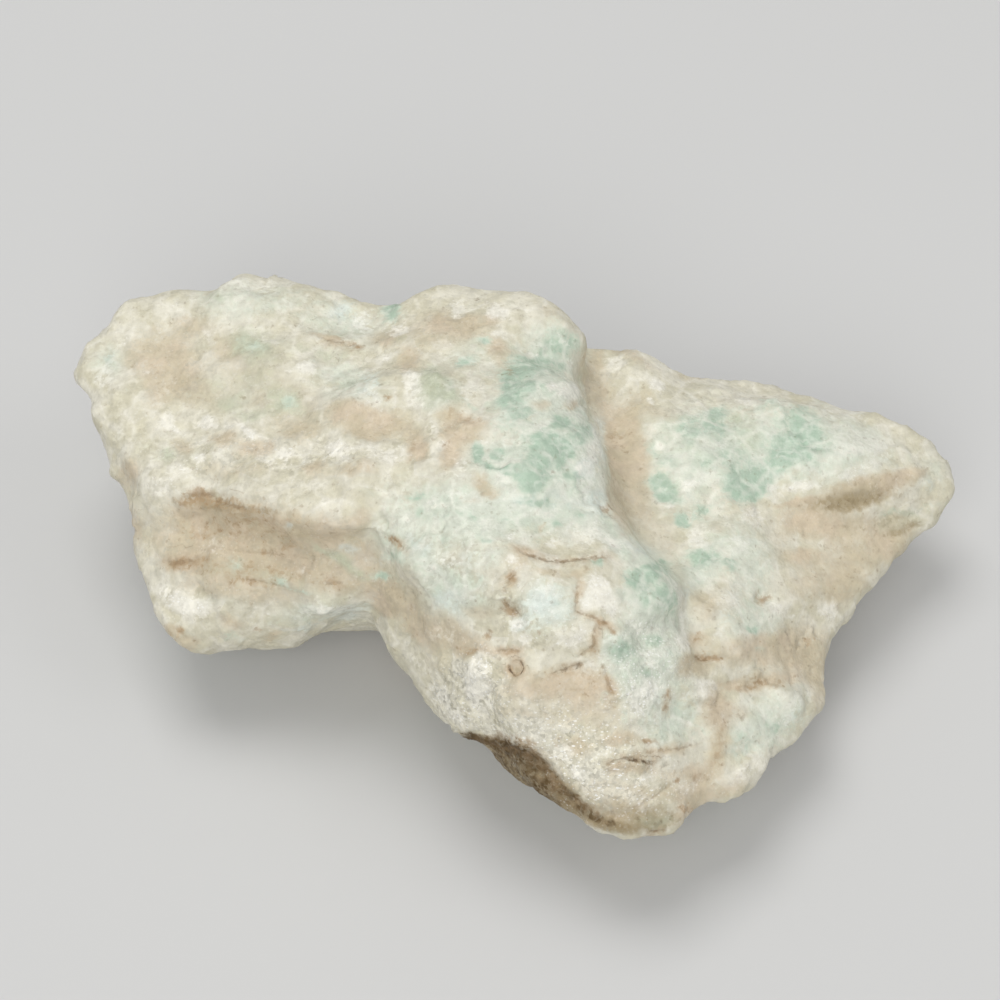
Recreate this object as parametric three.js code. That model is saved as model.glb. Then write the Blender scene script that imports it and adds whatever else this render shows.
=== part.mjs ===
// Raw amazonite: one rough lump of pale green feldspar, broken out of the rock and never cut or polished.
// It is a flattish lump of masses grown together: a west lobe whose top overhangs a lip, a high crown, a
// blunt nose at the front and a low east lobe beyond a step. Below its rim it draws in to a small flat spot.
// Millimetres, +Z up. X runs from west to east along the lump, the nose points to -Y, and it rests at z = 0.
import * as THREE from "three";
import { ConvexHull } from "three/addons/math/ConvexHull.js";
import { MarchingCubes } from "three/addons/objects/MarchingCubes.js";
import { mergeVertices } from "three/addons/utils/BufferGeometryUtils.js";

// Driving dimensions, in millimetres.
const EDGE_WEAR = 0.3; // how far the corners of a mass are worn round
const SEAM_FILL = 0.45; // how far the seam between two masses is filled
const CUT_WEAR = 0.35; // how far the rim of a hollow is worn round
const SEAT = 0.12; // what lies lower than this belongs to the flat spot that the lump rests on

// The stone's colour between its green, its white and its tan, and how dull its broken skin is.
const COLOUR = [0.7, 0.71, 0.63];
const ROUGHNESS = 0.62;

// The corners of each mass. A mass is the convex hull of its corners, and the lump is all of them together.
const MASSES = {
  westTop: [
    [-28.1, 8.8, 12.4], [-26.6, 11.3, 13.1], [-22, 13.8, 14], [-19, 15.7, 14.6], [-13.8, 11.8, 14.3],
    [-10.6, 13.2, 14.7], [-22.2, 3, 13.4], [-13.3, 1, 15.3], [-9.1, -1.3, 16.1],
    [-21.2, -2.7, 12.4], [-18.5, -2.6, 13.8], [-16.1, -3.4, 14.4], [-13.1, -4.8, 15], [-9.4, -6.2, 15.5],
    [-20.5, -1.4, 9], [-9, -4.6, 8.5], [-26.4, 10, 7.5], [-21, 14.4, 6.5], [-14, 14.8, 5.5],
    [-5, 12.3, 14.9], [-4, -3, 14], [-4, 13, 5], [-4, -2, 6], [-16, 4, 2.2],
  ],
  westLip: [
    [-25.2, 7.8, 11.6], [-23.2, 3.5, 12.3], [-22, 0.2, 12.1], [-20.9, -3.4, 11], [-20.8, -6.6, 8.9],
    [-22, -9.2, 6.8], [-19.2, -9, 5.6], [-14.4, -7.4, 5.6], [-11, -6.9, 6.2], [-8.4, -6.8, 7.8],
    [-20, -7, 9], [-15.7, -7.6, 8.8], [-10, -7.4, 9.6], [-19.5, -2.4, 11.2], [-12.8, -4.4, 12.4],
    [-8, -6.4, 12.8],
    [-23, 8, 7], [-19, 1, 3.6], [-16, 8, 2.6], [-3, -5, 11], [-3, -2, 1], [-4, 8, 0.8], [-10, -1, 1.6],
  ],
  crown: [
    [-10.6, 13, 14.8], [-7.1, 12.2, 15], [-2.8, 12.4, 15.8], [1.5, 11.5, 15.5], [3.7, 10.9, 14.3],
    [4.6, 8, 14.8], [5.1, 1.4, 15.4], [5.5, -3, 15.6], [-9.6, -3, 16.3], [-3.8, -6.2, 17.5], [0, -1.5, 18.2],
    [2.5, 3, 17.2], [4.2, -3.5, 17], [4.8, -7, 16.6], [-6.6, -9, 15.3], [-4.4, -11.1, 14.5],
    [6.5, 7, 8], [7.5, -4, 8], [4.5, 13, 6.5], [-2, 14.4, 8.5], [-8, 13.8, 5], [-12, 4, 10],
    [-7.5, 7, -0.8], [5, 7.5, -0.8], [6.5, -5, -0.8], [-7, -5, -0.8],
  ],
  brow: [
    [-2.1, -10.2, 16.9], [2.3, -10.2, 16.9], [6.9, -8.1, 15.7], [9.9, -10.6, 13.7], [-4.4, -11, 14.3],
    [-1, -12.9, 15], [2.3, -14.6, 14.6], [5.6, -14, 14.6], [-6.6, -8.9, 15.1], [-3, -2, 16.6], [3, -2, 16],
    [8, -4, 8], [-7, -5, 6], [2, -8, 0],
  ],
  nose: [
    [-1, -12.6, 14.8], [2.3, -14.4, 14.3], [5.6, -13.8, 14.3], [-4.2, -10.8, 14], [-5.9, -11.6, 11.5],
    [-7.4, -10.1, 8.2], [-5.7, -13.4, 7.2], [-4.1, -15.9, 6.6], [-2.4, -16, 6.2], [0.5, -17.2, 6.2],
    [2.6, -18.8, 6.6], [3.7, -20.7, 6.8], [5.4, -21.9, 6.6], [7.6, -21.8, 6.3], [11, -20.1, 5.8],
    [-2.1, -15.9, 12.4], [1.8, -17.8, 12.4], [6.7, -16.8, 12.9], [10.1, -13.2, 12.3], [4.5, -20.1, 9.9],
    [7.9, -19.1, 10.3], [10.6, -17.3, 9.7], [11.8, -15, 9], [6, -3, 13], [-6, -2, 12], [4, -15, 1.8],
    [-7, -3, 0.4], [8, -2, 0],
  ],
  eastTop: [
    [5.4, 12.5, 11.6], [9.3, 11.1, 10.8], [11.8, 9.9, 10.4], [13.9, 9, 10.3], [17.6, 8.1, 9.9],
    [22.9, 8.7, 9.5], [25.5, 7.6, 8.4], [28, 5.2, 7.3], [28.5, 3.2, 6.2], [27.5, 0.2, 5.5],
    [11.1, 4, 11.9], [15.9, 3.5, 11.6], [20.2, 3.9, 11.1], [15.2, 0.5, 10.5], [19, 1.6, 10], [22.9, 3, 9.8],
    [25.9, -1.5, 5.2], [26.4, 6.5, 4.4], [18, 9.6, 4.6], [9, 12, 4.4], [19, 2, 2.6], [2, 12, 11],
    [2, -1, 10.5], [9, -3, 10.6], [2, 11, 3], [4, 4, 0.4],
  ],
  eastFace: [
    [6.1, -1, 11.2], [8.4, -4.5, 11.4], [10.6, -7.5, 11.4], [13.9, -1.9, 10.5], [16.4, -0.1, 9.7],
    [20.3, 1.5, 8.3], [25.6, 1.6, 6.1], [23.3, 0.4, 5.2], [18.9, -2.8, 5], [17.7, -5.8, 5],
    [18.2, -8.4, 4.7], [12.9, -8.9, 9.9], [16.7, -7.2, 7.8], [10.4, -11.7, 10.8], [14, -10.5, 8.8],
    [21, 5, 3.4], [16, -4.6, 2], [3, 3, 10.8], [3, -9, 10], [8, 9, 1], [6, 7, 0], [8, -6, 0],
  ],
  bulge: [
    [19.7, -9.2, 4.6], [18.8, -12.9, 4.7], [15.7, -17.5, 5], [11.6, -20.3, 6], [13.6, -12, 9.1],
    [16.2, -12.1, 7.7], [13.3, -16.2, 8.3], [11, -13.6, 11.2], [11.5, -17, 9.3], [15, -6, 8],
    [18.8, -6.5, 5.2], [6, -14, 9.5], [6, -5, 9], [14, -9, 2.2], [6, -9, 0.8],
  ],
};

// What is scooped out of them: capsules whose axis lies outside the lump, with a radius at each end.
const HOLLOWS = {
  underTheEastRim: { from: [15.5, -2, 10.4], to: [23, -1.6, 8.7], radii: [1, 1.8] },
  besideTheNose: { from: [11.6, -12, 13], to: [13.2, -19, 10.2], radii: [1.5, 1.5] },
  eastWaist: { from: [23.4, -6.6, 9], to: [22.6, -6.2, 1.5], radii: [3.8, 3.8] },
  behindTheEastRim: { from: [12.5, 12, 13.6], to: [20.5, 10.8, 12.9], radii: [4.4, 4.8] },
  browOfTheWestLobe: { from: [-10, 4, 19.4], to: [-3, 3, 21], radii: [3.4, 3.6] },
};

// The relief that breaking and weathering leave: facets of about `cell` across that each tilt their own way
// by up to `slope`, stand up to half a `step` high or low, and meet more sharply with a higher `crispness`.
const RELIEF = [
  { cell: 8.5, slope: 0.14, step: 0.83, crispness: 1.2 },
  { cell: 4.2, slope: 0.16, step: 0.47, crispness: 2.4 },
];

// How the skin is made: a cube of space around the lump is parted into cells, the skin is drawn through
// them, and its triangles are evened out in rounds, the last of which only settle it on the surface.
const SKIN = { span: 64, middle: [0, -3, 9], cells: 60, mostTriangles: 20000, rounds: 14, lastRounds: 3 };
const EVENNESS = 0.5; // how far a vertex moves towards its neighbours' middle in a round
const PROBE = 0.02; // the step over which the slope of the distance is taken
const LEAST_SLOPE = 0.45; // the gentlest slope that a move on to the surface trusts
const WELD = 1e-4; // vertices closer than this are one
const SAME_PLANE = { cosine: 0.9995, offset: 0.05 }; // how alike two faces of a hull are to be one plane
const LATTICE = 128; // the relief's lattice is numbered from minus half of this to half of it

// A repeatable random number from 0 to 1 for a whole-number point of the lattice and a channel.
function chance(i, j, k, channel) {
  let h = Math.imul(i, 374761393) + Math.imul(j, 668265263) + Math.imul(k, 1440670441) + channel * 974634777;
  h = Math.imul(h ^ (h >>> 13), 1274126177);
  h = Math.imul(h ^ (h >>> 15), 1911520717);
  return ((h ^ (h >>> 16)) >>> 0) / 4294967296;
}

// The relief of one facet size: each random site of a jittered lattice holds a tilted plane, and the
// height at a point is the mean of the planes around it, weighted towards the nearest site.
class Facets {
  constructor({ cell, slope, step, crispness }, channel) {
    Object.assign(this, { cell, slope, step, crispness, channel });
    this.sites = new Map();
  }

  site(i, j, k) {
    const [row, column, floor] = [i, j, k].map((n) => n + LATTICE / 2);
    const key = (row * LATTICE + column) * LATTICE + floor;
    let site = this.sites.get(key);
    if (!site) {
      const draw = Array.from({ length: 7 }, (_, n) => chance(i, j, k, this.channel + n));
      site = {
        at: [(i + draw[0]) * this.cell, (j + draw[1]) * this.cell, (k + draw[2]) * this.cell],
        tilt: [draw[3] - 0.5, draw[4] - 0.5, draw[5] - 0.5].map((t) => 2 * this.slope * t),
        lift: this.step * (draw[6] - 0.5),
      };
      this.sites.set(key, site);
    }
    return site;
  }

  height(x, y, z) {
    const [ci, cj, ck] = [x, y, z].map((v) => Math.floor(v / this.cell));
    let weight = 0;
    let height = 0;
    for (let i = ci - 1; i <= ci + 1; i++)
      for (let j = cj - 1; j <= cj + 1; j++)
        for (let k = ck - 1; k <= ck + 1; k++) {
          const { at, tilt, lift } = this.site(i, j, k);
          const [ox, oy, oz] = [x - at[0], y - at[1], z - at[2]];
          const w = Math.exp(-this.crispness * Math.sqrt(ox * ox + oy * oy + oz * oz));
          weight += w;
          height += w * (ox * tilt[0] + oy * tilt[1] + oz * tilt[2] + lift);
        }
    return height / weight;
  }
}

// The planes of the convex hull of some corners, each once, as { normal, offset }.
function hullPlanes(corners) {
  const hull = new ConvexHull().setFromPoints(corners.map((corner) => new THREE.Vector3(...corner)));
  const planes = [];
  for (const { normal, midpoint } of hull.faces) {
    const offset = normal.dot(midpoint);
    const alike = (p) =>
      p.normal.dot(normal) > SAME_PLANE.cosine && Math.abs(p.offset - offset) < SAME_PLANE.offset;
    if (!planes.some(alike)) planes.push({ normal, offset });
  }
  return planes;
}

// The largest of some distances, rounded where two of them are alike to within about `wear`.
function softMax(distances, wear) {
  const top = Math.max(...distances);
  let sum = 0;
  for (const d of distances) sum += Math.exp((d - top) / wear);
  return top + wear * Math.log(sum);
}

// The distance from a capsule with a radius at each end, negative inside it.
function capsuleDistance(x, y, z, { from, to, radii }) {
  const [dx, dy, dz] = [to[0] - from[0], to[1] - from[1], to[2] - from[2]];
  const [px, py, pz] = [x - from[0], y - from[1], z - from[2]];
  const along = (px * dx + py * dy + pz * dz) / (dx * dx + dy * dy + dz * dz);
  const t = Math.min(1, Math.max(0, along));
  return Math.hypot(px - t * dx, py - t * dy, pz - t * dz) - (radii[0] + t * (radii[1] - radii[0]));
}

const massPlanes = Object.values(MASSES).map(hullPlanes);
const hollows = Object.values(HOLLOWS);
const facetLayers = RELIEF.map((relief, layer) => new Facets(relief, 16 * layer));

// The distance from the lump's surface, negative inside it. The lump ends at its flat spot, where z is 0.
function lumpDistance(x, y, z) {
  const depths = massPlanes.map((planes) => {
    const distances = planes.map(({ normal, offset }) => normal.x * x + normal.y * y + normal.z * z - offset);
    return -softMax(distances, EDGE_WEAR);
  });
  let distance = -softMax(depths, SEAM_FILL);
  for (const hollow of hollows) distance = softMax([distance, -capsuleDistance(x, y, z, hollow)], CUT_WEAR);
  for (const layer of facetLayers) distance += layer.height(x, y, z);
  return Math.max(distance, -z);
}

// The distance and how fast it grows along each axis.
function probe(x, y, z) {
  const distance = lumpDistance(x, y, z);
  const slope = [
    (lumpDistance(x + PROBE, y, z) - distance) / PROBE,
    (lumpDistance(x, y + PROBE, z) - distance) / PROBE,
    (lumpDistance(x, y, z + PROBE) - distance) / PROBE,
  ];
  return { distance, slope };
}

// A geometry with only positions, its equal vertices joined.
function weld(geometry) {
  geometry.deleteAttribute("normal");
  geometry.deleteAttribute("uv");
  return mergeVertices(geometry, WELD);
}

// The vertices that share a triangle with each vertex.
function neighboursOf({ index, attributes }) {
  const sets = Array.from({ length: attributes.position.count }, () => new Set());
  for (let i = 0; i < index.count; i += 3)
    for (let corner = 0; corner < 3; corner++) {
      const [a, b] = [index.array[i + corner], index.array[i + ((corner + 1) % 3)]];
      sets[a].add(b);
      sets[b].add(a);
    }
  return sets.map((set) => [...set]);
}

// One round of evening out: each vertex moves on to the surface, and along it towards its neighbours' middle.
function evenOut(position, neighbours, evenness) {
  const old = position.array.slice();
  for (let i = 0; i < position.count; i++) {
    const [x, y, z] = old.subarray(3 * i, 3 * i + 3);
    const { distance, slope } = probe(x, y, z);
    const square = Math.max(LEAST_SLOPE, Math.hypot(...slope)) ** 2;
    const pull = [-x, -y, -z];
    for (const j of neighbours[i])
      for (let axis = 0; axis < 3; axis++) pull[axis] += old[3 * j + axis] / neighbours[i].length;
    const lift = (pull[0] * slope[0] + pull[1] * slope[1] + pull[2] * slope[2]) / square;
    for (let axis = 0; axis < 3; axis++) {
      const along = evenness * (pull[axis] - lift * slope[axis]);
      position.array[3 * i + axis] += along - (distance * slope[axis]) / square;
    }
  }
}

// The lump's skin, as one closed geometry.
function lumpSkin() {
  const { span, middle, cells, mostTriangles, rounds, lastRounds } = SKIN;
  const cubes = new MarchingCubes(cells, new THREE.MeshBasicMaterial(), false, false, mostTriangles);
  cubes.isolation = 0;
  const place = (n, axis) => (span * (n - cells / 2)) / cells + middle[axis];
  for (let k = 0; k < cells; k++)
    for (let j = 0; j < cells; j++)
      for (let i = 0; i < cells; i++)
        cubes.field[(k * cells + j) * cells + i] = -lumpDistance(place(i, 0), place(j, 1), place(k, 2));
  cubes.update();
  const soup = new THREE.BufferGeometry();
  soup.setAttribute("position", new THREE.BufferAttribute(cubes.positionArray.slice(0, 3 * cubes.count), 3));
  soup.scale(span / 2, span / 2, span / 2).translate(...middle);
  const skin = weld(soup);
  const neighbours = neighboursOf(skin);
  for (let round = 0; round < rounds; round++) evenOut(skin.attributes.position, neighbours, EVENNESS);
  for (let round = 0; round < lastRounds; round++) evenOut(skin.attributes.position, neighbours, 0);
  return skin;
}

// The lump standing on its flat spot at z = 0, with the middle of its box on the Z axis.
function restedLump() {
  const lump = lumpSkin();
  const { position } = lump.attributes;
  for (let i = 0; i < position.count; i++) if (position.getZ(i) < SEAT) position.setZ(i, 0);
  lump.computeBoundingBox();
  const middle = lump.boundingBox.getCenter(new THREE.Vector3());
  return lump.translate(-middle.x, -middle.y, 0);
}

const stone = new THREE.Mesh(
  restedLump(),
  new THREE.MeshStandardMaterial({ color: new THREE.Color(...COLOUR), roughness: ROUGHNESS, metalness: 0 }),
);
stone.name = "raw_amazonite";

const group = new THREE.Group();
group.add(stone);
export default group;
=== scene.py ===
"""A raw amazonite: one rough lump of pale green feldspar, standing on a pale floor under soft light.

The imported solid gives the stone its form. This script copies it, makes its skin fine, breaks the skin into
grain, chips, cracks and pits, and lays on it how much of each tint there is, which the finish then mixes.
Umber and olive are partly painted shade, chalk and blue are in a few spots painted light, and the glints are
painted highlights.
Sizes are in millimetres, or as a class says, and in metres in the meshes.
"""

import logging
import math
from dataclasses import dataclass, field
from enum import Enum
from typing import Callable

import bmesh
import bpy
import numpy as np
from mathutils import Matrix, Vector, noise
from mathutils.bvhtree import BVHTree


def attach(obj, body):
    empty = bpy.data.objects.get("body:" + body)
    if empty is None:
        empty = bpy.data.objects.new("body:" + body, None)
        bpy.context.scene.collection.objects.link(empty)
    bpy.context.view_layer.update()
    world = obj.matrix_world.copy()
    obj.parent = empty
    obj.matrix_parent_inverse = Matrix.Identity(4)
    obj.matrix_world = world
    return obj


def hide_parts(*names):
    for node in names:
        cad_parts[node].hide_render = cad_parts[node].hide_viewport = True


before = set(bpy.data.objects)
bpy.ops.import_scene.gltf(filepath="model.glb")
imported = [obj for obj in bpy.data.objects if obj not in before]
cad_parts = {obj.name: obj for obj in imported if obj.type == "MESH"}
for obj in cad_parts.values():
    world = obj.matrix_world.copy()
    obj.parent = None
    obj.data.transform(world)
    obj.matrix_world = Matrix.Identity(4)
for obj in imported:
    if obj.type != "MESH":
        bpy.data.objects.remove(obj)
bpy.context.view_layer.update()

NODE = "raw_amazonite"
MM = 0.001  # one millimetre in metres

Colour = tuple[float, float, float, float]
Socket = bpy.types.NodeSocket

log = logging.getLogger("raw_amazonite")


class Tint(Enum):
    """What colours the stone. Each is laid on the skin as an amount from 0 to 1. Umber and olive are partly
    stains and partly painted shade, and chalk and blue are in a few spots painted light and painted glints.
    """

    MINT = "mint"
    SAGE = "sage"
    GREEN = "green"
    BLUE_AND_PAINTED_LIGHT = "blue_and_painted_light"
    CHALK_AND_PAINTED_LIGHT = "chalk_and_painted_light"
    TAN = "tan"
    UMBER_AND_SHADE = "umber_and_shade"
    RUST = "rust"
    OLIVE_AND_SHADE = "olive_and_shade"


@dataclass(frozen=True)
class Spot:
    """An oval of the skin, given by its place in the camera's frame.

    x, y is its middle and wide, high are its half sizes, in pixels of the frame. turn is how far its long way
    turns clockwise, in degrees, and amount is how strong it is.
    """

    x: float
    y: float
    wide: float
    high: float
    turn: float = 0.0
    amount: float = 1.0


def spots_of(*rows: tuple[float, ...]) -> tuple[Spot, ...]:
    """Makes a spot of each row of numbers."""
    return tuple(Spot(*row) for row in rows)


@dataclass(frozen=True)
class Crack:
    """A crack or a line of stain on the skin, through places in the camera's frame. Two of the lines, on the
    crease under the nose and in the fold below the east lobe, are partly painted shade.

    path is in pixels of the frame, width and depth are in millimetres, and stain is how dark its line is.
    """

    path: tuple[tuple[float, float], ...]
    width: float
    depth: float
    stain: float


@dataclass(frozen=True)
class Sight:
    """The camera's place and frame. Lengths are in millimetres, places in its frame are in pixels."""

    target: tuple[float, float, float] = (-0.96, 3.206, 10.0)
    elevation: float = 50.0
    distance: float = 160.0
    lens: float = 96.0
    sensor: float = 36.0
    nearest: float = 10.0
    side: int = 1000

    def axes(self) -> np.ndarray:
        """Gives the camera's right, up and backward directions, as rows."""
        lift = math.radians(self.elevation)
        right = (1.0, 0.0, 0.0)
        up = (0.0, math.sin(lift), math.cos(lift))
        back = (0.0, -math.cos(lift), math.sin(lift))
        return np.array((right, up, back))

    def eye(self) -> np.ndarray:
        """Gives where the camera stands."""
        return np.array(self.target) + self.distance * self.axes()[2]

    def places(self, points: np.ndarray) -> np.ndarray:
        """Finds where points are seen.

        Args:
            points: Points in millimetres, one in each row.

        Returns:
            Their x and y in the camera's frame, in pixels, one in each row.
        """
        turned = (points - self.eye()) @ self.axes().T
        scale = self.side * self.lens / self.sensor / -turned[:, 2]
        middle = self.side / 2
        return np.stack((middle + scale * turned[:, 0], middle - scale * turned[:, 1]), axis=1)

    def pixel(self) -> float:
        """Gives the width that one pixel covers at the target, in millimetres."""
        return self.distance * self.sensor / self.lens / self.side


SIGHT = Sight()
SIGHT_LIFT = 0.12  # how far over the skin a line of sight starts, in millimetres

# How the outlines of the spots wander: how far, in pixels, and in how many repeats a millimetre.
WANDER: tuple[tuple[float, float], ...] = ((5.0, 0.55), (1.6, 2.2))

# How the side that the camera sees comes to its end, for what lies on it and for what soaks on round its
# edge: how many rounds it is evened, and the evened amounts that count as none and as whole.
SEEN_EDGE: tuple[int, float, float] = (14, 0.05, 0.4)
SOAKED_EDGE: tuple[int, float, float] = (90, 0.01, 0.4)

# Where a plain spot stops being whole and where it ends, as shares of its half size.
FADE: tuple[float, float] = (0.4, 1.45)
PIT_FADE: tuple[float, float] = (0.7, 1.3)

CRACK_END = 0.25  # the share of a crack's length over which it comes in and goes out
CRACK_REACH = 1.0  # how far from its line a crack is looked for, in millimetres

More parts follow.
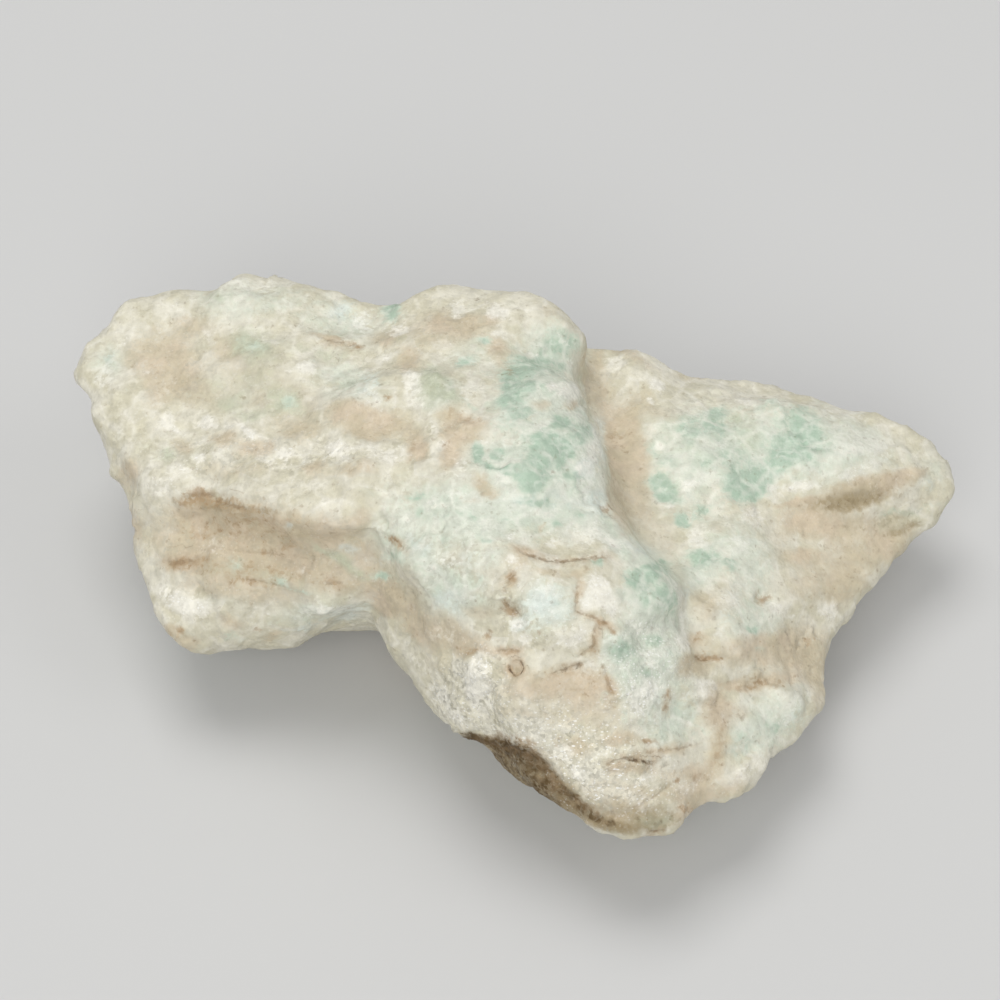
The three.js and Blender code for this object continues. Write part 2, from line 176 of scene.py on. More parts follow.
# Where each tint lies on the side of the stone that faces the camera, region by region.
TINTED: dict[Tint, tuple[Spot, ...]] = {
    Tint.MINT: spots_of(
        # the west lobe and its lip
        (250, 390, 70, 24, 0, 0.4), (250, 300, 70, 22, 0, 0.55), (345, 325, 50, 24, 15, 0.6),
        (110, 360, 22, 24, 0, 0.55), (350, 380, 48, 22, 20, 0.6), (170, 450, 30, 16, 0, 0.3),
        (320, 614, 60, 14, -8, 0.6), (300, 588, 60, 10, 5, 0.5), (225, 600, 50, 10, 0, 0.3),
        # the crown and the middle face
        (540, 400, 58, 60, 0, 0.75), (570, 455, 40, 60, 0, 0.85), (440, 390, 30, 28, 0, 0.7),
        (540, 500, 90, 40, 8, 0.95), (455, 515, 80, 36, 12, 0.85), (470, 350, 40, 20, 0, 0.45),
        (410, 550, 52, 26, 30, 0.8), (455, 592, 44, 30, 20, 0.8), (550, 345, 30, 30, 0, 0.6),
        (625, 545, 50, 18, 30, 0.8), (490, 560, 26, 12, 0, 0.5), (500, 455, 40, 20, 0, 0.7),
        # the nose
        (655, 600, 44, 52, 0, 0.95), (548, 606, 40, 34, 0, 0.8), (650, 670, 46, 50, 0, 0.85),
        (672, 725, 34, 28, 0, 0.75), (620, 650, 26, 20, 0, 0.7), (600, 720, 30, 12, 0, 0.3),
        # the east lobe
        (760, 445, 120, 44, 8, 0.8), (690, 470, 46, 50, 20, 0.75), (735, 545, 50, 34, 10, 0.65),
        (840, 440, 60, 28, 10, 0.6), (930, 470, 24, 24, 0, 0.4), (700, 570, 24, 20, 0, 0.7),
        # below the east lobe
        (765, 722, 54, 34, -35, 0.75), (755, 622, 42, 22, 0, 0.6), (752, 585, 26, 30, 0, 0.5),
    ),
    Tint.SAGE: spots_of(
        # the west lobe
        (252, 344, 26, 18, 20, 0.7), (285, 402, 18, 13, 0, 0.75), (256, 380, 34, 24, 10, 0.35),
        (229, 403, 16, 9, 0, 0.5), (255, 416, 17, 8, 0, 0.5), (220, 297, 16, 9, 0, 0.45),
        (333, 355, 20, 8, 10, 0.4), (168, 455, 7, 13, 0, 0.5), (205, 345, 22, 12, 0, 0.2),
        (352, 382, 12, 12, 0, 0.35), (205, 390, 30, 16, 0, 0.2), (300, 345, 24, 12, 20, 0.3),
        (262, 577, 60, 9, 8, 0.4), (330, 553, 26, 5, 30, 0.55), (354, 571, 20, 5, 30, 0.55),
        # the crown
        (433, 386, 18, 20, 0, 1.0), (449, 397, 13, 7, 20, 0.9), (500, 400, 16, 20, 0, 0.3),
        (405, 340, 16, 8, 0, 0.3), (475, 345, 16, 7, 0, 0.3),
        # the east lobe
        (749, 437, 13, 18, 0, 0.8), (736, 418, 12, 8, 0, 0.6), (694, 432, 34, 22, 0, 0.4),
        (700, 560, 18, 12, 0, 0.3), (905, 520, 34, 8, -8, 0.35),
        # the nose
        (655, 823, 24, 8, -5, 0.6), (470, 655, 10, 6, 0, 0.3), (560, 715, 40, 12, 0, 0.2),
    ),
    Tint.GREEN: spots_of(
        # the west lobe
        (251, 345, 16, 13, 20, 0.35), (286, 403, 12, 10, 0, 0.4), (108, 358, 7, 8, 0, 0.5),
        (392, 311, 13, 11, 0, 0.75), (355, 382, 11, 12, 0, 0.3), (233, 562, 8, 11, 0, 0.4),
        (280, 583, 11, 5, 10, 0.45), (394, 558, 13, 8, 10, 0.6), (380, 577, 13, 6, 20, 0.6),
        # the crown
        (548, 455, 44, 42, 0, 0.4), (515, 385, 26, 34, 5, 0.35), (562, 350, 22, 24, 20, 0.3),
        (467, 360, 10, 6, 0, 0.6), (484, 342, 7, 5, 0, 0.55), (531, 364, 18, 10, 0, 0.65),
        (510, 389, 10, 19, 5, 0.9), (517, 411, 11, 7, 0, 0.7), (559, 345, 15, 18, 30, 0.5),
        (532, 386, 11, 7, 0, 0.6), (561, 421, 9, 7, 0, 0.9), (547, 450, 15, 18, 20, 1.0),
        (531, 476, 16, 15, 0, 0.9), (584, 433, 14, 12, 0, 0.6), (475, 450, 6, 11, 0, 0.85),
        (496, 454, 8, 4, 15, 0.9), (506, 469, 7, 5, 0, 0.9), (488, 464, 10, 4, 20, 0.7),
        (541, 437, 7, 4, 0, 0.5), (568, 449, 12, 10, 0, 0.55), (575, 480, 16, 8, 10, 0.6),
        (471, 402, 10, 4, 30, 0.45), (500, 425, 18, 8, 20, 0.35), (560, 395, 14, 6, 20, 0.3),
        # the middle face
        (414, 496, 14, 6, 0, 0.6), (535, 501, 15, 4, 5, 0.9), (417, 518, 6, 9, 0, 0.5),
        (486, 540, 9, 4, 0, 0.7), (557, 526, 8, 4, 0, 0.5), (580, 511, 7, 6, 0, 0.5),
        (441, 587, 6, 6, 0, 0.45), (482, 577, 7, 7, 0, 0.45), (450, 512, 16, 6, 0, 0.35),
        (440, 540, 10, 8, 0, 0.35), (470, 520, 8, 5, 0, 0.4), (505, 520, 12, 5, 0, 0.3),
        # the nose
        (655, 590, 34, 34, 0, 0.15), (645, 665, 34, 20, 0, 0.2), (520, 520, 70, 16, 5, 0.2),
        (654, 571, 14, 9, -10, 0.85), (633, 579, 12, 11, 0, 0.75), (666, 602, 10, 15, -10, 0.6),
        (645, 598, 10, 14, 0, 0.55), (556, 603, 7, 5, 0, 0.6), (596, 566, 7, 4, 0, 0.7),
        (622, 648, 14, 13, 0, 0.65), (648, 675, 14, 7, 0, 0.35), (659, 732, 26, 18, 0, 0.2),
        (686, 709, 12, 12, 0, 0.45), (623, 718, 5, 9, 0, 0.45), (655, 640, 12, 8, 0, 0.6),
        (663, 822, 22, 6, -5, 0.4), (600, 700, 22, 8, 0, 0.25), (470, 655, 8, 5, 0, 0.25),
        (700, 735, 10, 14, 0, 0.3),
        # the east lobe
        (745, 482, 34, 24, 0, 0.4), (803, 435, 32, 24, 0, 0.4), (668, 492, 28, 18, 35, 0.35),
        (720, 425, 42, 18, 10, 0.35), (705, 560, 28, 16, 0, 0.35), (780, 460, 40, 20, 0, 0.3),
        (716, 416, 11, 11, 0, 0.5), (690, 432, 11, 9, 0, 0.6), (698, 463, 13, 7, 0, 0.5),
        (803, 430, 13, 10, 0, 0.85), (783, 457, 12, 6, 0, 0.8), (806, 453, 8, 5, 0, 0.7),
        (746, 483, 19, 14, -15, 1.0), (720, 440, 8, 7, 0, 0.3), (663, 489, 15, 9, 35, 0.95),
        (683, 520, 8, 6, 20, 0.9), (703, 513, 9, 7, 0, 0.6), (704, 559, 12, 10, 0, 0.7),
        (728, 567, 8, 7, 0, 0.5), (657, 448, 12, 7, 0, 0.4), (672, 463, 13, 10, 0, 0.4),
        (724, 455, 16, 9, 0, 0.4), (770, 470, 12, 8, 0, 0.45), (750, 540, 20, 10, 0, 0.25),
        (775, 407, 30, 7, 8, 0.45), (905, 512, 28, 5, -5, 0.4), (800, 440, 30, 20, 0, 0.4),
        (700, 430, 30, 18, 0, 0.2), (938, 505, 14, 3, -5, 0.4),
        # the bulge and the lip
        (750, 628, 7, 5, 0, 0.6), (778, 722, 16, 10, -30, 0.55), (748, 744, 16, 12, 0, 0.45),
        (760, 650, 10, 5, 0, 0.3), (231, 635, 14, 5, 0, 0.35), (300, 592, 14, 5, 10, 0.35),
    ),
    Tint.BLUE_AND_PAINTED_LIGHT: spots_of(
        # the spots at 586, 470, at 596, 500 and at 600, 440 lighten the crown's right flank: a bluish edge,
        # and painted light over its shade
        (340, 312, 16, 11, 0, 0.7), (364, 322, 13, 14, 0, 0.5), (586, 470, 13, 14, 0, 0.9),
        (596, 500, 12, 14, 20, 0.6), (369, 387, 13, 20, 0, 0.5), (318, 358, 10, 6, 0, 0.4),
        (349, 551, 12, 7, 10, 0.7), (290, 527, 9, 5, 0, 0.6), (345, 611, 26, 9, -15, 0.8),
        # the spot at 519, 629 is a painted glint
        (300, 630, 22, 6, -5, 0.7), (547, 606, 28, 26, 0, 0.75), (519, 629, 11, 8, 0, 0.9),
        (450, 600, 22, 16, 20, 0.6), (415, 545, 24, 12, 30, 0.5), (525, 500, 14, 8, 0, 0.5),
        (690, 590, 9, 12, 0, 0.6), (560, 500, 40, 22, 10, 0.35), (640, 545, 26, 8, 25, 0.5),
        (655, 700, 20, 14, 0, 0.4), (727, 602, 18, 14, 0, 0.4), (108, 358, 8, 9, 0, 0.5),
        (720, 620, 14, 10, 0, 0.3), (790, 715, 16, 10, 0, 0.35), (800, 745, 14, 16, 30, 0.3),
        (930, 485, 14, 8, 0, 0.35), (470, 560, 30, 10, 15, 0.35), (372, 561, 12, 5, 30, 0.45),
        (600, 440, 8, 30, 0, 0.6),
    ),
    Tint.CHALK_AND_PAINTED_LIGHT: spots_of(
        # the west lobe
        (165, 420, 10, 8, 20, 1.0), (174, 429, 11, 5, 20, 0.9), (206, 422, 13, 6, -12, 1.0),
        (236, 424, 16, 3, 6, 0.85), (251, 432, 11, 7, 25, 1.0), (308, 368, 12, 9, 0, 1.0),
        (290, 371, 5, 3, 0, 0.7), (104, 376, 12, 13, 0, 0.6), (147, 371, 7, 4, 0, 0.45),
        (199, 457, 10, 6, -10, 0.75), (287, 453, 8, 8, 0, 0.95), (277, 462, 20, 9, 0, 0.25),
        (305, 459, 9, 7, 0, 0.3), (333, 450, 11, 10, 0, 0.9), (374, 399, 8, 11, 0, 0.6),
        (385, 355, 7, 5, 0, 0.7), (181, 308, 14, 6, -25, 0.45), (212, 334, 5, 13, -25, 0.5),
        (363, 324, 12, 15, 0, 0.6), (250, 285, 40, 8, 0, 0.45), (128, 334, 14, 6, -30, 0.45),
        (161, 487, 18, 12, 0, 0.65), (182, 472, 13, 8, 0, 0.55), (120, 430, 8, 34, 0, 0.35),
        (274, 498, 8, 5, 0, 0.5), (325, 502, 6, 5, 0, 0.7), (310, 485, 24, 8, 0, 0.35),
        (188, 604, 27, 12, 18, 1.0), (160, 592, 8, 12, 0, 0.6), (257, 611, 4, 6, 0, 0.6),
        (271, 613, 5, 5, 0, 0.5), (322, 611, 5, 6, 0, 0.7), (302, 572, 6, 4, 0, 0.7),
        (216, 546, 20, 9, 10, 0.35), (330, 575, 18, 4, 5, 0.2),
        # the crown
        (400, 329, 12, 7, 0, 0.75), (459, 308, 9, 12, 0, 0.7), (498, 313, 15, 9, 15, 0.85),
        (410, 378, 9, 15, -20, 0.75), (414, 400, 9, 9, 0, 0.6), (341, 450, 12, 14, 0, 0.6),
        (368, 448, 14, 11, 0, 0.55), (391, 454, 17, 11, -10, 0.65), (433, 423, 7, 13, 0, 0.6),
        (441, 444, 9, 7, 0, 0.6), (461, 464, 8, 15, 0, 0.6), (471, 391, 12, 11, 0, 0.5),
        (553, 387, 8, 4, -20, 0.95), (571, 392, 18, 12, 0, 0.8), (543, 425, 8, 7, 0, 0.6),
        # the spots at 595, 432 and 596, 455 here and at 588, 468 below lighten the crown's right flank: a
        # pale edge, and painted light over the flank's shade
        (595, 432, 6, 14, 0, 0.7), (578, 470, 7, 5, 0, 0.7), (596, 455, 6, 16, 0, 0.5),
        (557, 338, 4, 11, -35, 0.6), (566, 345, 3, 10, -35, 0.5), (573, 362, 6, 7, 0, 0.6),
        (494, 335, 8, 3, 10, 0.75), (531, 353, 8, 4, 0, 0.7), (500, 480, 9, 9, 0, 0.5),
        (440, 345, 12, 6, 0, 0.4), (520, 320, 22, 8, 10, 0.15), (480, 440, 7, 4, 0, 0.6),
        (588, 468, 10, 34, 0, 0.6), (594, 524, 12, 10, 0, 0.5),
        # the middle face
        (458, 492, 20, 5, 5, 0.4), (510, 536, 9, 5, 0, 0.7), (447, 557, 18, 8, 0, 0.55),
        (430, 568, 10, 5, 0, 0.6), (553, 545, 9, 4, 0, 0.6), (488, 523, 12, 6, 0, 0.5),
        (595, 538, 34, 9, 8, 0.6), (545, 514, 16, 6, 0, 0.5), (403, 520, 8, 6, 0, 0.45),
        (618, 545, 18, 7, 15, 0.5), (436, 503, 16, 5, 10, 0.35), (552, 470, 6, 5, 0, 0.45),
        # the nose
        (597, 588, 16, 13, 20, 1.0), (607, 602, 17, 10, 30, 0.9), (589, 600, 8, 9, 0, 0.8),
        # the spots at 511, 560 and at 519, 627 are painted glints
        (511, 560, 5, 5, 0, 1.0), (572, 637, 22, 12, -5, 0.75), (519, 627, 9, 5, 0, 0.9),
        (526, 641, 14, 5, 0, 0.6), (540, 585, 14, 8, 0, 0.45), (478, 680, 13, 22, 10, 1.0),
        (476, 676, 20, 26, 10, 0.5), (485, 707, 13, 9, 0, 0.7), (437, 694, 14, 9, 45, 0.7),
        (455, 715, 16, 10, 35, 0.7), (563, 752, 14, 12, 0, 0.65), (580, 772, 14, 9, 40, 0.7),
        (607, 789, 34, 8, 5, 0.2), (688, 786, 16, 8, -15, 0.5), (640, 797, 24, 5, 0, 0.35),
        (655, 690, 8, 6, 0, 0.5), (643, 628, 22, 7, 20, 0.5), (683, 640, 10, 16, 0, 0.85),
        (683, 608, 8, 22, -5, 0.6), (330, 612, 34, 9, -8, 0.55), (441, 634, 30, 14, 15, 0.3),
        (650, 662, 14, 6, 0, 0.5), (640, 700, 16, 16, 0, 0.7), (654, 688, 22, 12, 0, 0.4),
        (545, 700, 30, 10, 5, 0.15), (505, 735, 26, 8, 20, 0.45), (650, 782, 20, 6, -8, 0.5),
        (688, 705, 6, 16, 0, 0.4), (590, 735, 16, 7, 0, 0.4), (530, 725, 18, 7, 0, 0.4),
        (415, 660, 8, 22, -35, 0.5),
        # the east lobe
        (616, 365, 14, 7, 10, 0.7), (657, 385, 10, 6, 10, 0.95), (650, 396, 5, 3, 0, 0.9),
        (662, 445, 6, 4, 0, 0.9), (670, 507, 6, 3, 0, 0.95), (675, 367, 22, 8, 15, 0.5),
        (690, 483, 11, 8, 0, 0.75), (698, 537, 13, 12, 0, 0.75), (736, 547, 15, 11, 0, 0.55),
        (754, 514, 14, 11, 0, 0.65), (800, 488, 25, 7, -12, 0.75), (842, 442, 26, 18, 0, 0.5),
        (876, 446, 18, 16, 0, 0.5), (777, 403, 18, 5, 12, 0.3), (744, 396, 14, 5, 0, 0.6),
        (723, 446, 9, 6, 0, 0.55), (774, 484, 5, 5, 0, 0.9), (925, 460, 18, 16, 0, 0.15),
        (860, 470, 26, 6, -15, 0.5), (700, 410, 9, 6, 0, 0.4), (838, 415, 30, 6, 5, 0.5),
        # below the east lobe
        (727, 603, 17, 12, 0, 0.5), (778, 609, 12, 9, 0, 0.75), (792, 619, 5, 4, 0, 0.8),
        (720, 630, 6, 6, 0, 0.7), (828, 609, 12, 10, -30, 0.75), (787, 703, 13, 11, 30, 0.5),
        (810, 692, 9, 10, 0, 0.4), (782, 720, 7, 7, 0, 0.75), (706, 688, 13, 11, 0, 0.75),
        # the spot at 691, 724 is a painted glint
        (691, 724, 5, 4, 0, 0.8), (744, 772, 22, 12, -30, 0.55), (765, 760, 16, 8, -35, 0.4),
        (722, 716, 6, 8, 0, 0.4),
    ),
    Tint.TAN: spots_of(
        # the west lobe
        (165, 355, 32, 26, 0, 0.55), (194, 325, 20, 10, 0, 0.45), (229, 347, 13, 11, 0, 0.55),
        (181, 385, 28, 20, 0, 0.6), (155, 395, 12, 20, 0, 0.35), (385, 337, 22, 10, 0, 0.65),
        (348, 412, 19, 15, 0, 0.85), (366, 422, 24, 15, 0, 0.8), (255, 447, 22, 9, 0, 0.65),
        (223, 437, 17, 8, 0, 0.7), (181, 446, 12, 8, 0, 0.55), (127, 472, 11, 18, 0, 0.7),
        (333, 341, 22, 5, 15, 0.65), (290, 415, 40, 22, 0, 0.3), (235, 470, 40, 10, 0, 0.4),
        (320, 470, 20, 9, 0, 0.4), (366, 468, 14, 8, 0, 0.5), (132, 520, 8, 22, -15, 0.4),
        (300, 432, 20, 10, 0, 0.5), (210, 398, 24, 12, 0, 0.35), (255, 381, 40, 26, 0, 0.5),
        (240, 345, 34, 22, 0, 0.35), (290, 400, 26, 16, 0, 0.35), (165, 355, 46, 34, 0, 0.3),
        # the hollow under its ledge
        (250, 545, 105, 42, 8, 0.85), (212, 515, 34, 15, 0, 0.9), (246, 527, 34, 13, 8, 0.9),
        (285, 530, 30, 12, 10, 0.8), (330, 530, 26, 14, 10, 0.55), (361, 519, 14, 12, 0, 0.6),
        (345, 580, 34, 14, 5, 0.5), (382, 592, 18, 16, 0, 0.75), (392, 606, 16, 10, 0, 0.7),
        (240, 592, 60, 12, 5, 0.5), (262, 572, 80, 14, 8, 0.6), (182, 562, 24, 9, 0, 0.7),
        (233, 621, 14, 7, 0, 0.6), (271, 636, 12, 5, 0, 0.6), (169, 634, 12, 9, 30, 0.8),
        (188, 645, 14, 6, 0, 0.7), (365, 555, 10, 20, -30, 0.5), (400, 545, 14, 7, 35, 0.55),
        (412, 575, 10, 18, -20, 0.4),
        # the crown
        (408, 360, 14, 10, 10, 0.7), (443, 321, 12, 8, 0, 0.65), (467, 323, 12, 8, 0, 0.65),
        (492, 320, 10, 7, 0, 0.55), (496, 349, 16, 9, 20, 0.75), (510, 366, 9, 11, 0, 0.8),
        (386, 423, 27, 15, 0, 0.85), (414, 444, 12, 17, 10, 0.9), (462, 418, 26, 9, 8, 0.9),
        (459, 433, 22, 11, 0, 0.8), (451, 454, 12, 14, 0, 0.85), (482, 483, 9, 16, -35, 0.75),
        (494, 492, 8, 6, 0, 0.6), (541, 407, 10, 6, 0, 0.65), (571, 405, 8, 6, 0, 0.75),
        (527, 417, 9, 4, 0, 0.65), (312, 466, 12, 7, 0, 0.6), (349, 472, 12, 7, 0, 0.6),
        (440, 335, 46, 20, 0, 0.5), (470, 325, 34, 12, 0, 0.35), (430, 386, 18, 20, 0, 0.35),
        (450, 370, 14, 8, 20, 0.35), (548, 310, 16, 5, 20, 0.35),
        # the middle face
        (430, 480, 20, 6, 0, 0.3), (470, 500, 12, 6, 0, 0.35), (519, 490, 10, 5, 0, 0.3),
        (543, 530, 4, 4, 0, 0.8), (523, 550, 18, 6, 8, 0.75), (511, 580, 7, 8, 0, 0.8),
        (400, 603, 24, 14, 0, 0.6), (549, 571, 20, 6, 0, 0.65), (515, 562, 14, 8, 0, 0.5),
        (441, 634, 34, 18, 15, 0.7), (468, 652, 14, 8, 0, 0.7), (415, 625, 12, 18, -25, 0.6),
        (505, 650, 24, 6, 0, 0.7), (435, 660, 14, 20, -20, 0.3), (478, 612, 18, 7, 10, 0.5),
        # the nose
        (579, 590, 5, 22, 0, 0.6), (580, 571, 12, 4, 0, 0.6), (604, 623, 16, 6, 25, 0.8),
        (597, 640, 6, 22, 5, 0.7), (515, 667, 14, 13, 0, 0.8), (566, 684, 46, 16, 0, 0.85),
        (586, 690, 18, 20, 0, 0.8), (609, 690, 10, 20, -15, 0.7), (530, 690, 34, 12, 0, 0.5),
        (579, 747, 14, 10, 0, 0.75), (623, 739, 24, 8, 5, 0.7), (462, 640, 28, 10, 10, 0.5),
        (572, 706, 44, 12, 0, 0.35), (612, 787, 40, 9, 5, 0.35), (655, 790, 30, 8, -10, 0.3),
        (630, 771, 28, 6, 0, 0.7), (560, 720, 34, 10, 0, 0.35), (514, 712, 20, 8, 0, 0.35),
        (668, 703, 6, 18, 10, 0.6), (661, 752, 34, 6, -8, 0.6), (680, 770, 24, 8, -20, 0.5),
        (520, 775, 50, 12, 28, 0.9), (555, 795, 26, 14, 40, 0.9), (600, 822, 34, 9, 18, 0.8),
        (620, 805, 30, 8, 0, 0.35), (690, 800, 20, 12, -30, 0.55), (640, 822, 40, 9, 0, 0.8),
        (690, 808, 24, 10, -30, 0.6),
        # the gully
        (594, 362, 10, 22, 10, 0.6), (600, 395, 14, 24, 0, 0.65), (622, 425, 19, 22, 0, 0.95),
        (631, 458, 22, 26, 0, 0.95), (630, 500, 24, 26, 0, 0.65), (650, 532, 26, 20, 30, 0.3),
        (672, 560, 14, 22, -20, 0.35), (617, 504, 9, 24, -22, 0.6), (613, 455, 6, 30, 0, 0.8),
        (687, 590, 10, 22, -10, 0.35), (640, 400, 18, 18, 0, 0.5), (642, 363, 26, 6, 12, 0.35),
        (625, 352, 24, 5, 12, 0.6), (690, 376, 14, 5, 15, 0.6), (668, 413, 22, 9, 0, 0.35),
        (706, 603, 13, 18, 0, 0.6), (700, 640, 16, 10, 0, 0.7), (690, 666, 18, 13, 0, 0.8),
        # the east lobe
        (853, 500, 34, 9, -6, 1.0), (866, 486, 42, 12, -12, 0.95), (905, 474, 20, 9, -10, 0.7),
        (800, 503, 26, 4, -4, 0.7), (805, 520, 20, 16, 0, 0.8), (835, 522, 34, 16, 0, 0.7),
        (862, 548, 46, 30, -20, 0.6), (801, 556, 18, 10, 0, 0.75), (815, 585, 30, 24, 0, 0.45),
        (845, 585, 20, 24, 30, 0.6), (895, 535, 20, 26, 40, 0.55), (800, 640, 30, 18, 0, 0.6),
        (720, 530, 14, 8, 0, 0.4), (780, 535, 12, 30, 0, 0.35), (754, 470, 8, 5, 0, 0.3),
        # the band and the valley below it
        (765, 655, 60, 15, 0, 0.65), (755, 683, 46, 8, -4, 0.75), (805, 668, 26, 16, 0, 0.5),
        (714, 708, 13, 20, 0, 0.8), (719, 745, 10, 26, 10, 0.85), (700, 780, 16, 18, 35, 0.75),
        (735, 715, 22, 12, 0, 0.5), (720, 792, 24, 10, -35, 0.4), (602, 720, 26, 12, 0, 0.4),
        (760, 640, 30, 8, 0, 0.5), (675, 795, 18, 8, -25, 0.5), (820, 690, 9, 30, 5, 0.5),
        (732, 790, 24, 8, -35, 0.4),
    ),
    Tint.UMBER_AND_SHADE: spots_of(
        # the ledge over the hollow
        (206, 501, 34, 6, 6, 0.6), (252, 510, 40, 5, 5, 0.45), (184, 562, 26, 4, 0, 0.4),
        (200, 655, 40, 4, -4, 0.3), (262, 572, 80, 16, 8, 0.15),
        # the recess at the east end, painted shade
        (848, 503, 46, 9, -5, 0.68), (872, 490, 46, 13, -12, 0.33), (908, 512, 26, 7, -8, 0.35),
        (904, 528, 26, 6, -14, 0.6), (922, 498, 20, 4, -5, 0.3), (885, 520, 24, 5, -8, 0.2),
        # the stone's turn under the nose: a brown stain along the crease, and painted shade on the flank
        # below it
        (480, 744, 26, 10, 14, 0.8), (510, 752, 30, 14, 20, 0.9), (540, 770, 24, 14, 38, 0.9),
        (562, 792, 18, 12, 44, 0.8), (588, 814, 26, 10, 30, 0.8), (615, 829, 30, 9, 14, 0.7),
        (520, 780, 40, 13, 32, 0.9), (550, 802, 30, 11, 38, 0.9), (652, 826, 34, 9, -6, 0.6),
        # elsewhere on the nose and beside it, with painted shade along the nose's bottom
        (514.7, 667.5, 6, 6, 0, 0.4), (714, 712, 10, 18, 0, 0.2), (928, 466, 22, 18, 0, 0.18),
        (640, 812, 44, 9, 2, 0.55), (433, 387, 13, 14, 0, 0.2), (604, 798, 34, 6, 14, 0.25),
    ),
    Tint.RUST: spots_of(
        (357, 347, 9, 4, 10, 0.8), (387, 397, 9, 4, 0, 0.7), (204, 495, 12, 6, 10, 0.75),
        (248, 516, 34, 8, 8, 0.35), (300, 520, 30, 6, 10, 0.25), (288, 546, 12, 6, 0, 0.5),
        (182, 562, 15, 6, 0, 0.8), (204, 557, 7, 6, -30, 0.6), (198, 537, 14, 5, 0, 0.5),
        (392, 541, 12, 4, 35, 0.7), (263, 555, 4, 3, 0, 0.7), (331, 583, 12, 4, 5, 0.45),
        (250, 583, 24, 4, 10, 0.4), (262, 627, 11, 4, 5, 0.55), (176, 634, 5, 6, 0, 0.75),
        (245, 505, 60, 7, 4, 0.3), (163, 640, 8, 6, 40, 0.6), (464, 414, 16, 4, 8, 0.45),
        (410, 450, 6, 12, 0, 0.4), (447, 445, 14, 4, -10, 0.4), (512, 365, 6, 8, 0, 0.5),
        (543, 529, 3, 3, 0, 0.7), (511, 580, 6, 5, 0, 0.7), (506, 603, 5, 5, 0, 0.8),
        (512, 613, 10, 6, 20, 0.9), (486, 637, 4, 5, 0, 0.8), (471, 652, 8, 4, 0, 0.7),
        (460, 645, 10, 4, 0, 0.4), (542, 634, 3, 4, 0, 0.8), (510, 651, 14, 3, 0, 0.6),
        (603, 622, 8, 4, 15, 0.9), (612, 632, 7, 4, 30, 0.8), (594, 650, 5, 10, 20, 0.6),
        (586, 686, 14, 16, 0, 0.35), (611, 692, 7, 7, 0, 0.7), (605, 676, 4, 12, -20, 0.6),
        (668, 697, 4, 7, 0, 0.8), (667, 711, 4, 6, 0, 0.6), (648, 743, 6, 4, 0, 0.8),
        (677, 781, 7, 4, 0, 0.7), (679, 805, 8, 4, 15, 0.8), (688, 808, 12, 4, 10, 0.6),
        (615, 740, 14, 3, 0, 0.35), (660, 752, 22, 3, -8, 0.3), (763, 599, 9, 7, 0, 0.75),
        (702, 637, 6, 6, 0, 0.6), (713, 657, 17, 4, 3, 0.85), (732, 616, 3, 4, 0, 0.7),
        (750, 686, 26, 4, -5, 0.35), (806, 639, 7, 7, 0, 0.6), (718, 750, 6, 18, 5, 0.5),
        (696, 777, 7, 8, 30, 0.6), (722, 728, 5, 10, 0, 0.5), (620, 434, 14, 4, 0, 0.4),
        (604, 509, 7, 4, 30, 0.6), (790, 655, 30, 6, -5, 0.1), (560, 740, 8, 6, 0, 0.35),
        (540, 780, 40, 12, 36, 0.4), (508, 738, 30, 6, 5, 0.55), (531, 748, 14, 9, 32, 0.55),
        (235, 530, 66, 18, 6, 0.42), (620, 440, 14, 30, 0, 0.18), (250, 572, 80, 12, 6, 0.45),
        (200, 500, 30, 8, 0, 0.5), (765, 684, 40, 8, -5, 0.3),
    ),
    Tint.OLIVE_AND_SHADE: spots_of(
        # mostly the stone's turn under the nose: an olive-brown stain along the crease and painted shade on
        # the flank below it, with a little painted shade in the east recess
        (474, 742, 20, 9, 12, 0.95), (504, 747, 26, 12, 14, 0.95), (532, 761, 18, 10, 34, 0.8),
        (552, 777, 14, 8, 48, 0.5), (568, 795, 14, 7, 45, 0.55), (587, 810, 18, 7, 32, 0.65),
        (608, 822, 18, 5, 20, 0.5), (520, 772, 44, 12, 30, 0.55), (549, 797, 26, 10, 38, 0.45),
        (656, 823, 16, 5, -5, 0.25), (641, 762, 22, 3, 5, 0.35), (848, 503, 30, 5, -4, 0.12),
        (700, 516, 7, 4, 20, 0.3), (150, 652, 26, 4, 20, 0.4),
    ),
}

# Where a spot of each tint stops being whole and where it ends, as shares of its half size.
FADES: dict[Tint, tuple[float, float]] = {
    Tint.MINT: (0.1, 1.45),
    Tint.SAGE: (0.1, 1.7),
    Tint.GREEN: (0.1, 1.85),
    Tint.BLUE_AND_PAINTED_LIGHT: (0.1, 1.6),
    Tint.CHALK_AND_PAINTED_LIGHT: (0.35, 1.45),
    Tint.TAN: (0.25, 1.6),
    Tint.UMBER_AND_SHADE: (0.2, 1.6),
    Tint.RUST: (0.2, 1.5),
    Tint.OLIVE_AND_SHADE: (0.3, 1.5),
}

